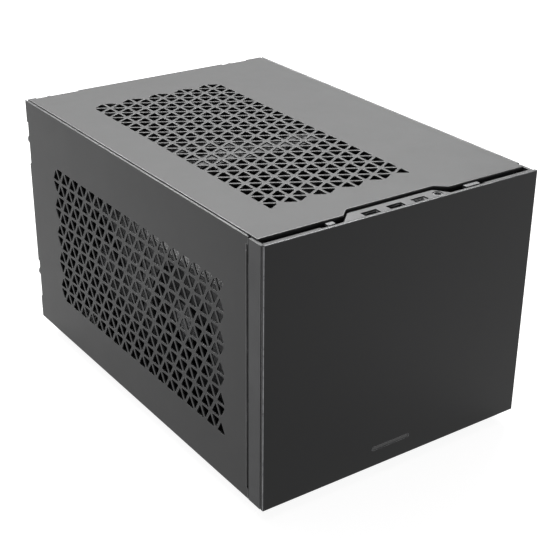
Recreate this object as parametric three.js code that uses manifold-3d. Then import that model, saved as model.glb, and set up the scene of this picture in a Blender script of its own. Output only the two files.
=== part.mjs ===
// Small desktop computer tower: sheet steel chassis with slide-off side and top
// panels, flat metal front plate, top-edge ports and buttons, and the working
// parts it holds.  Millimetres, +Z up, front faces -Y, +X right seen from the front.
import * as THREE from 'three';
import { mergeVertices } from 'three/addons/utils/BufferGeometryUtils.js';
import Module from 'manifold-3d';

const wasm = await Module();
wasm.setup();

// ---------------------------------------------------------------- dimensions
const WIDTH = 247, HEIGHT = 219;          // overall, feet included in the height
const FOOT_H = 10;                        // body underside above the table
const SHEET = 1.2;                        // steel sheet
const Y_FRONT = -185.5;                   // face of the front plate
const Y_REAR = 178.5;                     // rear edge of the outer panels
const Y_MAX = 185.5;                      // tips of the thumbscrews
const XO = WIDTH / 2;                     // outer face of the side panels
const Z0 = FOOT_H, Z1 = HEIGHT;           // body underside and top face
const PLATE = 2.8;                        // front plate thickness
const PANEL_FRONT = -165.8;               // front edge of the side panels
const HEM = 0.8;                          // second layer of the folded edges
const XC = 119.5;                         // half width of the chassis
const TOP_HALF = 120.7;                   // half width of the top panel
const TOP_EDGE = -173.8, TOP_NOTCH = -166.3;   // front edge of the top panel, in the notch
const NOTCH = [-50.2, -42.3, 37.3, 45.3]; // notch corners along X
const WALL_Y = [173.3, 174.5];            // rear wall
const TAB_Y = [175.3, 176.5];             // recessed screw tabs of the panels
const SCREW_X = 116.3, SCREW_Z = [181, 53];    // side panel screws
const TOP_SCREW_X = [-98.3, 88.5], TOP_SCREW_Z = 211.8;
const SHELF_Z = 217.8;                    // top of the port shelf
const PORT_Y = -178.4;                    // centre line of the front ports
const USB_X = [-29.9, -7.6], USBC_X = 13.8, JACK_X = 31.7;
const RESET = [-67, -60.3, -179.2, -174.6], POWER = [58.4, 72.2, -178.8, -173.8];
const FAN = 120, FAN_D = 25;              // fan frame, square and deep
const REAR_FAN = [18, 128];               // centre X, Z
const CPU_X = 23, CPU_FAN_Z = 122;        // cooler centre
const BOARD = [-60, 110, 1.5, 171.5, 19.0, 20.6];
const GPU_X = -54.8;                      // component side of the graphics card
const GPU_FANS = [104, -30], GPU_Z = 86;
const PSU = [32, 116.5, -141, -1, 12.7, 162.7];
const INLET = [93, 190];                  // rear power inlet centre X, Z

// ---------------------------------------------------------------- materials
const mat = (color, roughness, metalness) => new THREE.MeshStandardMaterial({ color, roughness, metalness });
const M = {
  steel: mat(0x2b2c2e, 0.52, 0.35), zinc: mat(0x8b8d90, 0.42, 0.85),
  anodised: mat(0x26272a, 0.42, 0.6), bezel: mat(0x1f2022, 0.5, 0.05),
  button: mat(0x77797c, 0.4, 0.3), rubber: mat(0x17181a, 0.85, 0.0),
  screw: mat(0x2a2b2d, 0.4, 0.7), pcb: mat(0x15181c, 0.5, 0.05),
  alloy: mat(0x3a3c40, 0.38, 0.7), dark_alloy: mat(0x33353a, 0.4, 0.6),
  fan: mat(0x1b1c1e, 0.5, 0.0), port: mat(0xa7a9ac, 0.3, 0.9),
  cable: mat(0x161718, 0.7, 0.0),
};

// ---------------------------------------------------------------- solids
const solid = (g) => {
  const c = g.clone();
  c.deleteAttribute('normal');
  c.deleteAttribute('uv');
  const m = mergeVertices(c, 1e-4);
  return new wasm.Manifold(new wasm.Mesh({
    numProp: 3,
    vertProperties: new Float32Array(m.attributes.position.array),
    triVerts: Uint32Array.from(m.index.array),
  }));
};
const box = (x0, x1, y0, y1, z0, z1) => {
  const g = new THREE.BoxGeometry(x1 - x0, y1 - y0, z1 - z0);
  g.translate((x0 + x1) / 2, (y0 + y1) / 2, (z0 + z1) / 2);
  return solid(g);
};
// A flat outline with holes, extruded along x, y or z from a0 to a1.
// The outline is (y,z) for x, (x,z) for y and (x,y) for z.
const prism = (axis, pts, a0, a1, holes = []) => {
  const sh = new THREE.Shape(pts.map((p) => new THREE.Vector2(p[0], p[1])));
  const g = new THREE.ExtrudeGeometry(sh, { depth: a1 - a0, bevelEnabled: false, curveSegments: 12 });
  const m = new THREE.Matrix4();
  if (axis === 'x') m.makeBasis(new THREE.Vector3(0, 1, 0), new THREE.Vector3(0, 0, 1), new THREE.Vector3(1, 0, 0)).setPosition(a0, 0, 0);
  if (axis === 'y') m.makeBasis(new THREE.Vector3(1, 0, 0), new THREE.Vector3(0, 0, 1), new THREE.Vector3(0, -1, 0)).setPosition(0, a1, 0);
  if (axis === 'z') m.setPosition(0, 0, a0);
  g.applyMatrix4(m);
  return holes.reduce((body, h) => body.subtract(prism(axis, h, a0 - 1, a1 + 1)), solid(g));
};
const ring = (cx, cy, r, n, turn = 0) => Array.from({ length: n }, (_, i) => {
  const a = turn + (i / n) * Math.PI * 2;
  return [cx + r * Math.cos(a), cy + r * Math.sin(a)];
});
const rect = (a0, a1, b0, b1) => [[a0, b0], [a1, b0], [a1, b1], [a0, b1]];
const disc = (axis, c0, c1, r, a0, a1, n = 12) => prism(axis, ring(c0, c1, r, n), a0, a1);
const join = (...s) => s.reduce((a, b) => a.add(b));
const cut = (a, ...s) => s.reduce((p, q) => p.subtract(q), a);
const mirrorX = (b) => (b[1] === undefined ? b : [-b[1], -b[0], ...b.slice(2)]);
const both = (side, ...b) => (side < 0 ? box(...mirrorX(b)) : box(...b));

const part = new THREE.Group();
part.name = 'desktop_computer_tower';
const put = (name, body, material) => {
  const out = body.asOriginal().simplify(0.004).getMesh();
  const g = new THREE.BufferGeometry();
  g.setAttribute('position', new THREE.BufferAttribute(new Float32Array(out.vertProperties), 3));
  g.setIndex(new THREE.BufferAttribute(new Uint32Array(out.triVerts), 1));
  g.computeBoundingBox();
  const c = g.boundingBox.getCenter(new THREE.Vector3());
  g.translate(-c.x, -c.y, -c.z);
  g.computeVertexNormals();
  const mesh = new THREE.Mesh(g, material);
  mesh.name = name;
  mesh.position.copy(c);
  part.add(mesh);
  return mesh;
};

// Horizontal slots that fill a circle, for finger guards.
const slotHoles = (cx, cz, r, pitch, rib) => {
  const holes = [];
  for (let k = -3; k <= 3; k++) {
    const h0 = k * pitch - (pitch - rib) / 2, h1 = k * pitch + (pitch - rib) / 2;
    const far = Math.max(Math.abs(h0), Math.abs(h1));
    if (far >= r - 4) continue;
    const half = Math.sqrt(r * r - far * far);
    holes.push(rect(cx - half, cx - rib / 2, cz + h0, cz + h1));
    holes.push(rect(cx + rib / 2, cx + half, cz + h0, cz + h1));
  }
  return holes;
};

// ---------------------------------------------------------------- chassis
{
  let base = box(-XC, XC, -164.8, 173, 11.2, 11.2 + SHEET);
  for (const s of [-1, 1]) base = base.add(both(s, XC - SHEET, XC, -164.8, 173, 12, 30));
  for (const x of [BOARD[0] + 6.5, BOARD[1] - 6.5]) {
    for (const y of [BOARD[2] + 7, BOARD[3] - 10]) base = base.add(disc('z', x, y, 3.2, 12, 18.7, 8));
  }
  put('chassis_base', base, M.steel);

  put('chassis_front', prism('y', rect(-119.3, 119.3, 12.7, 212), -166.3, -165.1,
    [rect(-30, 30, 196, 204)]), M.steel);

  const holes = [
    ...slotHoles(REAR_FAN[0], REAR_FAN[1], 57, 16, 4),
    rect(-48, 110.75, 17, 61.5),
    rect(-68, -56, 24, 122), rect(-88.5, -76.5, 24, 122), rect(-109, -97, 24, 122),
    rect(INLET[0] - 13.8, INLET[0] + 13.8, INLET[1] - 10.8, INLET[1] + 10.8),
  ];
  for (const s of [-1, 1]) for (const z of SCREW_Z) holes.push(ring(s * SCREW_X, z, 1.95, 10));
  for (const x of TOP_SCREW_X) holes.push(ring(x, TOP_SCREW_Z, 1.95, 10));
  let rear = prism('y', rect(-XC, XC, 12.7, 215.3), WALL_Y[0], WALL_Y[1], holes);
  for (const s of [-1, 1]) rear = rear.add(both(s, XC - SHEET, XC, 163, 173.5, 30.5, 215.3));
  rear = rear.add(box(-XC, XC, 163, 173.5, 214.1, 215.3));
  put('chassis_rear', rear, M.steel);

  for (const s of [-1, 1]) {
    const rail = join(both(s, XC - SHEET, XC, -164.8, 162.7, 203, 215.3), both(s, 108, XC, -164.8, 162.7, 214.1, 215.3));
    put(s < 0 ? 'chassis_rail_left' : 'chassis_rail_right', rail, M.steel);
  }
  put('cross_brace', prism('x', [[-32, 202], [-30.8, 202], [-30.8, 212.6], [-12.2, 212.6], [-12.2, 202], [-11, 202], [-11, 213.8], [-32, 213.8]], -118, 118), M.steel);
}

// ---------------------------------------------------------------- feet
{
  const profile = [[0, 0], [12, 0], [14.2, 1.2], [15, 4], [15, FOOT_H + 0.9], [0, FOOT_H + 0.9]].map((p) => new THREE.Vector2(p[0], p[1]));
  const names = { '-1-1': 'foot_front_left', '1-1': 'foot_front_right', '-11': 'foot_rear_left', '11': 'foot_rear_right' };
  for (const sx of [-1, 1]) for (const sy of [-1, 1]) {
    const g = new THREE.LatheGeometry(profile, 14);
    g.rotateX(Math.PI / 2);
    g.translate(sx * 94, sy < 0 ? -150 : 146, 0);
    put(names[`${sx}${sy}`], solid(g), M.rubber);
  }
}

// ---------------------------------------------------------------- outer panels
const screwNotch = { high: [161, 199], low: [30.7, 67] };
for (const s of [-1, 1]) {
  const T0 = XO - SHEET, T1 = XO, H0 = XO - SHEET - HEM;
  let p = both(s, T0, T1, PANEL_FRONT, Y_REAR, Z0, 218.7);
  p = join(p,
    both(s, H0, T0 + 0.1, PANEL_FRONT, 177, 214.7, 218.7),
    both(s, H0, T0 + 0.1, PANEL_FRONT, 177, Z0, 14),
    both(s, H0, T0 + 0.1, PANEL_FRONT, PANEL_FRONT + 4, Z0, 218.7),
    both(s, 111, T0 + 0.1, Y_REAR - SHEET, Y_REAR, 16, 205),
    both(s, T0, T1, PANEL_FRONT - 0.8, PANEL_FRONT + 0.1, 212.7, 218.7),
    both(s, T0, T1, PANEL_FRONT - 0.8, PANEL_FRONT + 0.1, Z0, 19));
  for (const [z0, z1] of [screwNotch.high, screwNotch.low]) {
    p = p.subtract(both(s, 100, T1 + 1, TAB_Y[1], Y_REAR + 1, z0, z1));
    p = p.add(both(s, 110, T0 + 0.1, TAB_Y[0], TAB_Y[1], z0, z1));
    p = p.add(both(s, 111, T0 + 0.1, TAB_Y[0], Y_REAR, z0 - SHEET, z0 + 0.1));
    p = p.add(both(s, 111, T0 + 0.1, TAB_Y[0], Y_REAR, z1 - 0.1, z1 + SHEET));
  }
  for (const z of SCREW_Z) p = p.subtract(disc('y', s * SCREW_X, z, 2.25, 170, 180, 12));
  put(s < 0 ? 'left_panel' : 'right_panel', p, M.steel);
}
{
  const outline = (inset) => [
    [-TOP_HALF, TOP_EDGE + inset], [NOTCH[0] - inset * 0.5, TOP_EDGE + inset], [NOTCH[1] - inset * 0.3, TOP_NOTCH + inset],
    [NOTCH[2] + inset * 0.3, TOP_NOTCH + inset], [NOTCH[3] + inset * 0.5, TOP_EDGE + inset], [TOP_HALF, TOP_EDGE + inset]];
  let p = prism('z', [...outline(0), [TOP_HALF, Y_REAR], [-TOP_HALF, Y_REAR]], Z1 - SHEET, Z1);
  const skirt = prism('z', [...outline(0), ...outline(SHEET).reverse()], 215.9, Z1 - SHEET + 0.1);
  p = join(p, skirt, box(-118, 118, Y_REAR - SHEET, Y_REAR, 207, Z1 - SHEET + 0.1));
  for (const [x0, x1, xs] of [[-113.2, -73.3, TOP_SCREW_X[0]], [76.4, 103.9, TOP_SCREW_X[1]]]) {
    p = p.subtract(box(x0, x1, TAB_Y[1], Y_REAR + 1, 200, Z1 + 1));
    p = p.add(box(x0, x1, TAB_Y[0], TAB_Y[1], 206, Z1 - SHEET + 0.1));
    p = p.add(box(x0 - SHEET, x0 + 0.1, TAB_Y[0], Y_REAR, 207, Z1 - SHEET + 0.1));
    p = p.add(box(x1 - 0.1, x1 + SHEET, TAB_Y[0], Y_REAR, 207, Z1 - SHEET + 0.1));
    p = p.subtract(disc('y', xs, TOP_SCREW_Z, 2.25, 170, 180, 12));
  }
  put('top_panel', p, M.steel);
}

// ---------------------------------------------------------------- panel screws
{
  const spots = [
    ['left_upper', -SCREW_X, SCREW_Z[0]], ['left_lower', -SCREW_X, SCREW_Z[1]],
    ['right_upper', SCREW_X, SCREW_Z[0]], ['right_lower', SCREW_X, SCREW_Z[1]],
    ['top_left', TOP_SCREW_X[0], TOP_SCREW_Z], ['top_right', TOP_SCREW_X[1], TOP_SCREW_Z]];
  for (const [n, x, z] of spots) {
    put(`thumbscrew_${n}`, join(disc('y', x, z, 5, 178.1, Y_MAX, 12), disc('y', x, z, 1.6, 169.5, 178.3, 8)), M.screw);
    put(`washer_${n}`, prism('y', ring(x, z, 4.6, 12), 176.8, 177.8, [ring(x, z, 2.1, 8)]), M.zinc);
  }
}

// ---------------------------------------------------------------- front
put('front_plate', box(-XO, XO, Y_FRONT, Y_FRONT + PLATE, Z0, Z1), M.anodised);
{
  const shelf = [[-56.8, -182.4], [41.5, -182.4], [32.6, -170.4], [-44.1, -170.4]];
  const shelfIn = [[-53.6, -181], [38.8, -181], [31.6, -171.8], [-43.5, -171.8]];
  let f = join(
    box(-121, 121, -182.4, -180.4, 12, 198),
    both(-1, 120.7, XO, -181.8, -167.5, Z0, SHELF_Z), both(1, 120.7, XO, -181.8, -167.5, Z0, SHELF_Z),
    box(-XO, XO, -181.8, -167.5, Z0, 12.8),
    box(-121, 121, -182.4, -169.5, 205.7, 207.7),
    prism('z', shelf, SHELF_Z - 2, SHELF_Z),
    cut(prism('z', shelf, 207.5, SHELF_Z - 1.9), prism('z', shelfIn, 200, SHELF_Z)));
  const cove = [[-182.4, 207.5], [-182.4, 218.6], [-181, 218.4], [-179.2, 217.7], [-177.5, 216.3], [-176.3, 214.4], [-175.6, 212], [-175.4, 207.5]];
  f = join(f, prism('x', cove, -121, -74.7), prism('x', cove, 73.6, 121));
  const shaftHole = (b, m) => box(b[0] + m, b[1] - m, b[2] + 1, b[3] - 1, 204, 209);
  f = cut(f,
    ...USB_X.map((x) => box(x - 6.9, x + 6.9, PORT_Y - 3.2, PORT_Y + 3.2, 203, 220)),
    box(USBC_X - 6.5, USBC_X + 6.5, PORT_Y - 2.9, PORT_Y + 2.9, SHELF_Z - 1, 220),
    box(USBC_X - 4.9, USBC_X + 4.9, PORT_Y - 2.1, PORT_Y + 2.1, 203, 220),
    disc('z', JACK_X, PORT_Y + 0.9, 4.1, 203, 220, 12),
    shaftHole(RESET, 1.2), shaftHole(POWER, 2.4));
  for (const x of [-40, 40]) f = f.add(disc('z', x, -173.6, 2, 200.6, 206.2, 8));
  put('front_frame', f, M.bezel);

  const button = (b, m) => join(
    box(b[0], b[1], b[2], b[3], 209.1, 217.6),
    box(b[0] + m + 0.5, b[1] - m - 0.5, b[2] + 1.4, b[3] - 1.4, 204, 209.5),
    box(b[0] + m - 0.6, b[1] - m + 0.6, b[2] + 0.6, b[3] - 0.6, 203.3, 205.2));
  put('reset_button', button(RESET, 1.2), M.button);
  put('power_button', button(POWER, 2.4), M.button);

  put('front_io_board', join(box(-72, 78, -180.2, -171.4, 198.6, 200.2),
    box(-66.3, -61, -178.8, -175, 200, 202), box(62, 68.6, -178.2, -174.4, 200, 202)), M.pcb);
  USB_X.forEach((x, i) => put(`front_usb_a_${i + 1}`, join(
    cut(box(x - 6.55, x + 6.55, PORT_Y - 2.85, PORT_Y + 2.85, 200.5, 217.5), box(x - 6.05, x + 6.05, PORT_Y - 2.35, PORT_Y + 2.35, 206, 218)),
    box(x - 5.5, x + 5.5, PORT_Y + 0.1, PORT_Y + 1.9, 205, 216.6)), M.port));
  put('front_usb_c', join(
    cut(box(USBC_X - 4.5, USBC_X + 4.5, PORT_Y - 1.65, PORT_Y + 1.65, 200.5, 216.7), box(USBC_X - 4.15, USBC_X + 4.15, PORT_Y - 1.3, PORT_Y + 1.3, 208, 218)),
    box(USBC_X - 3.35, USBC_X + 3.35, PORT_Y - 0.35, PORT_Y + 0.35, 207, 216)), M.port);
  put('front_audio_jack', cut(disc('z', JACK_X, PORT_Y + 0.9, 3.75, 200.5, 217.7, 12), disc('z', JACK_X, PORT_Y + 0.9, 1.8, 204, 218, 10)), M.bezel);
}

// ---------------------------------------------------------------- fans
// axis 'y': a and b are x and z of the centre; axis 'x': a and b are y and z.
const fanFrame = (axis, a, b, d0, d1, strut) => {
  const h = FAN / 2;
  let f = prism(axis, rect(a - h, a + h, b - h, b + h), d0, d1, [ring(a, b, 57.5, 24)]);
  const s = strut < 0 ? [d0, d0 + 3] : [d1 - 3, d1];
  f = f.add(disc(axis, a, b, 20, s[0], s[1], 12));
  const bar = (lo, hi, l2, h2) => prism(axis, rect(lo, hi, l2, h2), s[0], s[1]);
  return join(f, bar(a - 58, a + 58, b - 2, b + 2), bar(a - 2, a + 2, b - 58, b + 58));
};
const rotor = (axis, a, b, d0, d1, rHub, rTip, n) => {
  let r = disc(axis, a, b, rHub, d0, d1, 14);
  for (let i = 0; i < n; i++) {
    const t = (i / n) * Math.PI * 2, c = Math.cos(t), s = Math.sin(t);
    const w0 = (rHub - 2), sweep = 0.42;
    const p = (rad, off) => [a + rad * Math.cos(t + off), b + rad * Math.sin(t + off)];
    r = r.add(prism(axis, [p(w0, -0.12), p(rTip, sweep - 0.2), p(rTip, sweep + 0.2), p(w0, 0.3)], d0 + (d1 - d0) * 0.3, d0 + (d1 - d0) * 0.62));
  }
  return r;
};
put('rear_fan_frame', fanFrame('y', REAR_FAN[0], REAR_FAN[1], 147.9, 172.9, -1), M.fan);
put('rear_fan_rotor', rotor('y', REAR_FAN[0], REAR_FAN[1], 151.6, 170.5, 19, 55, 7), M.fan);

// ---------------------------------------------------------------- main board
{
  let b = box(...BOARD);
  const onBoard = (...v) => { b = b.add(box(v[0], v[1], v[2], v[3], 20.4, v[4])); };
  onBoard(CPU_X - 22, CPU_X + 22, 73, 117, 24.2);
  onBoard(52, 104, 126, 146, 44);
  onBoard(-42, 98, 11, 17.5, 27);
  onBoard(-42, 98, 21, 27.5, 27);
  onBoard(101, 109, 32, 84, 33);
  onBoard(-36, -14, 62, 142, 28);
  onBoard(-58.5, -49.5, 52, 141, 30.6);
  b = b.subtract(box(-55.4, -52.6, 54, 139, 24, 32));
  put('motherboard', b, M.pcb);
  put('ram_1', box(-38, 95.3, 12.2, 16.2, 27.3, 58), M.dark_alloy);
  put('ram_2', box(-38, 95.3, 22.2, 26.2, 27.3, 58), M.dark_alloy);

  // rear ports: [x0, x1, top]
  const towers = [[91, 105, 37], [66, 83, 45], [44, 58, 37], [18, 35, 52], [0, 10, 36], [-40, -20, 55]];
  let io = box(-42, 106, 150, 168, 20.9, 24);
  for (const [x0, x1, t] of towers) io = io.add(box(x0, x1, 152, 175.8, 20.9, t));
  const usb = (x, z) => {
    io = io.subtract(box(x - 6.1, x + 6.1, 166, 177, z - 2.4, z + 2.4));
    io = io.add(box(x - 5.5, x + 5.5, 165, 175, z - 0.2, z + 1.6));
  };
  for (const x of [98, 51]) for (const z of [25.5, 33]) usb(x, z);
  for (const z of [25.5, 33]) usb(26.5, z);
  io = io.subtract(box(20.6, 32.4, 160, 177, 39.5, 48.5));
  put('rear_io_ports', io, M.port);
  put('io_shield', prism('y', rect(-47.7, 110.45, 17.3, 61.2), 173.6, 174.3,
    towers.map(([x0, x1, t]) => rect(x0 - 0.4, x1 + 0.4, 20.4, t + 0.4))), M.zinc);
}

// ---------------------------------------------------------------- processor cooler
{
  const x0 = CPU_X - 60, x1 = CPU_X + 60, fins = 5, z0 = 62, pitch = 26, t = 10.5;
  const right = [], left = [];
  for (let i = 0; i < fins; i++) {
    const z = z0 + i * pitch;
    right.push([x1, z], [x1, z + t]);
    left.unshift([x0, z + t], [x0, z]);
    if (i < fins - 1) {
      right.push([CPU_X + 34, z + t], [CPU_X + 34, z + pitch]);
      left.splice(0, 0, [CPU_X - 34, z + pitch], [CPU_X - 34, z + t]);
    }
  }
  let h = prism('y', [...right, ...left], 85, 135);
  h = h.add(box(CPU_X - 20, CPU_X + 20, 76, 116, 24.5, 36));
  for (const dx of [-15, -5, 5, 15]) h = h.add(disc('z', CPU_X + dx, 102, 3, 35, 63, 8));
  put('cpu_heatsink', h, M.alloy);
  put('cpu_fan_frame', fanFrame('y', CPU_X, CPU_FAN_Z, 59.4, 84.4, 1), M.fan);
  put('cpu_fan_rotor', rotor('y', CPU_X, CPU_FAN_Z, 61, 80.6, 19, 55, 7), M.fan);
}

// ---------------------------------------------------------------- graphics card
{
  put('gpu_board', join(
    box(GPU_X, GPU_X + 1.6, -96, 170, 34, 138), box(GPU_X, GPU_X + 1.6, 56, 137, 24.6, 34.5),
    box(GPU_X + 1.4, GPU_X + 9.8, 34, 56, 126, 140),
    ...[50, 72, 94].flatMap((z) => [box(-66, GPU_X + 0.2, 168.4, 171.4, z, z + 16), box(-66, -58, 171, 174, z, z + 16)])), M.pcb);

  const teeth = [], y0 = -92, n = 13, pitch = 20, w = 9;
  for (let i = 0; i < n; i++) {
    const y = y0 + i * pitch;
    teeth.push([-76, y], [-76, y + w]);
    if (i < n - 1) teeth.push([-58.5, y + w], [-58.5, y + pitch]);
  }
  put('gpu_heatsink', prism('z', [[-55.1, y0 + (n - 1) * pitch + w], ...teeth.reverse(), [-55.1, y0]], 36, 136), M.alloy);

  let s = prism('x', rect(-97, 168, 31, 141), -96, -94, GPU_FANS.map((y) => ring(y, GPU_Z, 47, 20)));
  s = join(s, box(-94.1, -56.5, -97, 168, 31, 33), box(-94.1, -56.5, -97, 168, 139, 141),
    box(-94.1, -56.5, -97, -95, 31, 141), box(-94.1, -56.5, 166, 168, 31, 141));
  put('gpu_shroud', s, M.fan);
  GPU_FANS.forEach((y, i) => put(`gpu_fan_rotor_${i + 1}`, rotor('x', y, GPU_Z, -93.6, -77.5, 17, 45, 9), M.fan));
  put('gpu_bracket', prism('y', rect(-95, -51.5, 18, 138), 171.8, 173,
    [50, 72, 94].map((z) => rect(-66.4, -57.6, z - 0.4, z + 16.4)).concat([rect(-88, -77, 40, 116)])), M.steel);
  put('slot_cover', box(-109.8, -95.6, 171.8, 173, 18, 138), M.steel);
}

// ---------------------------------------------------------------- power supply
{
  const [x0, x1, y0, y1, z0, z1] = PSU;
  let c = cut(box(...PSU), box(x0 + SHEET, x1 + 1, y0 + SHEET, y1 - SHEET, z0 + SHEET, z1 - SHEET),
    box(89.5, 103.5, y0 - 1, y0 + 2, 115, 135), box(45, 80, y1 - 2, y1 + 1, 100, 150));
  put('psu_case', c, M.steel);
  const cy = (y0 + y1) / 2, cz = (z0 + z1) / 2;
  put('psu_cover', prism('x', rect(y0, y1, z0, z1), x1 + 0.3, x1 + 1.5, slotHoles(cy, cz, 55, 16, 4)), M.steel);
  put('psu_fan_rotor', rotor('x', cy, cz, 97, 115, 19, 54, 7), M.fan);
  // rocker: stored on its off side, pivot along X
  const a = -8 * Math.PI / 180, py = y0 + 2.2, pz = 125;
  const pts = [[4, -6], [4, 6], [-3.2, 8.6], [-2.5, 0], [-3.2, -8.6]]
    .map(([y, z]) => [py + y * Math.cos(a) - z * Math.sin(a), pz + y * Math.sin(a) + z * Math.cos(a)]);
  put('psu_switch', prism('x', pts, 90.2, 102.8), M.fan);
}

// ---------------------------------------------------------------- drive, inlet
put('solid_state_drive', box(-95, 5, -164.6, -157.8, 92, 162), M.dark_alloy);
{
  const [x, z] = INLET;
  let s = join(box(x - 13.5, x + 13.5, 152, 175, z - 10.5, z + 10.5), box(x - 15.5, x + 15.5, 174.8, 176.8, z - 12.5, z + 12.5));
  s = s.subtract(box(x - 12, x + 12, 160, 178, z - 8.2, z + 8.2));
  s = join(s, box(x - 1, x + 1, 159, 174, z + 2, z + 6), box(x - 8, x - 6, 159, 174, z - 5, z - 1), box(x + 6, x + 8, 159, 174, z - 5, z - 1));
  put('rear_power_inlet', s, M.bezel);
}

// ---------------------------------------------------------------- wiring
const lead = (pts, r, steps, sides = 8) => {
  const curve = new THREE.CatmullRomCurve3(pts.map((p) => new THREE.Vector3(...p)), false, 'centripetal');
  const sh = new THREE.Shape(ring(0, 0, r, sides).map((p) => new THREE.Vector2(p[0], p[1])));
  return solid(new THREE.ExtrudeGeometry(sh, { steps, extrudePath: curve, bevelEnabled: false }));
};
put('ac_extension_cable', join(
  lead([[93, 146, 190], [93, 128, 190], [99, 108, 194], [105, 80, 196], [106, 20, 196], [106, -60, 196], [104, -110, 192], [98, -136, 180], [86, -150, 160], [72, -154, 142], [62.5, -154, 131]], 3.5, 40),
  box(82, 104, 144, 151.7, 182, 198), box(49, 76, -160, -141.3, 117, 137)), M.cable);
put('main_power_cable', join(
  lead([[62, 4, 118], [70, 12, 120], [84, 20, 114], [98, 34, 96], [105, 48, 72], [105, 57, 52], [105, 58, 44]], 6.5, 24),
  box(46, 79, -0.7, 6, 104, 132), box(100.5, 109.5, 33, 83, 33.3, 46)), M.cable);
put('gpu_power_cable', join(
  lead([[60, 4, 142], [52, 14, 150], [34, 26, 165], [6, 36, 176], [-22, 42, 176], [-42, 45, 168], [-49, 45, 156], [-49, 45, 148]], 4.5, 28),
  box(47, 78, -0.7, 6, 136, 148), box(-53, -45.2, 35, 55, 140.3, 154)), M.cable);

export default part;
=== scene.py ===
import math

import bmesh
import bpy
from mathutils import Matrix, Vector
from mathutils.geometry import delaunay_2d_cdt


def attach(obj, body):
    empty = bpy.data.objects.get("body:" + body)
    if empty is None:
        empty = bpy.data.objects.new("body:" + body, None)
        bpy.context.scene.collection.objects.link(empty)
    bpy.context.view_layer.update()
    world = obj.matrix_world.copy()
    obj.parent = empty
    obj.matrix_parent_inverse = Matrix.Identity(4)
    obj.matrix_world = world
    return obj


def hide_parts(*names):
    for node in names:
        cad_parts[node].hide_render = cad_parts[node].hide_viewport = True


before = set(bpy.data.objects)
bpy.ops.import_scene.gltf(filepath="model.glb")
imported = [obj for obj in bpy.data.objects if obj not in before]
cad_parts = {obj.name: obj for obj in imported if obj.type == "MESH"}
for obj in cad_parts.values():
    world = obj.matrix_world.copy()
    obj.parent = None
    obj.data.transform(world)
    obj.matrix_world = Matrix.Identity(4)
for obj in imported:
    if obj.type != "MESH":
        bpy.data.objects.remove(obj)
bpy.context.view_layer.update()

# Shapes below are written in millimetres in the row frame: front -Y, +X right, +Z up.
MM = 0.001


# ------------------------------------------------------------------ camera
def make_camera():
    yaw, pitch, roll = 0.616003, 0.455571, 0.0119698
    fwd = Vector((math.sin(yaw) * math.cos(pitch), math.cos(yaw) * math.cos(pitch), -math.sin(pitch)))
    right0 = Vector((math.cos(yaw), -math.sin(yaw), 0))
    up0 = Vector((math.sin(yaw) * math.sin(pitch), math.cos(yaw) * math.sin(pitch), math.cos(pitch)))
    r = math.cos(roll) * right0 + math.sin(roll) * up0
    u = -math.sin(roll) * right0 + math.cos(roll) * up0
    data = bpy.data.cameras.new("camera")
    data.sensor_width = 36
    data.lens = 78.64
    data.clip_start, data.clip_end = 0.02, 60
    cam = bpy.data.objects.new("camera", data)
    bpy.context.scene.collection.objects.link(cam)
    m = Matrix((r, u, -fwd)).transposed().to_4x4()
    m.translation = Vector((-0.52674, -0.77338, 0.54428))
    cam.matrix_world = m
    bpy.context.scene.camera = cam


make_camera()


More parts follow.
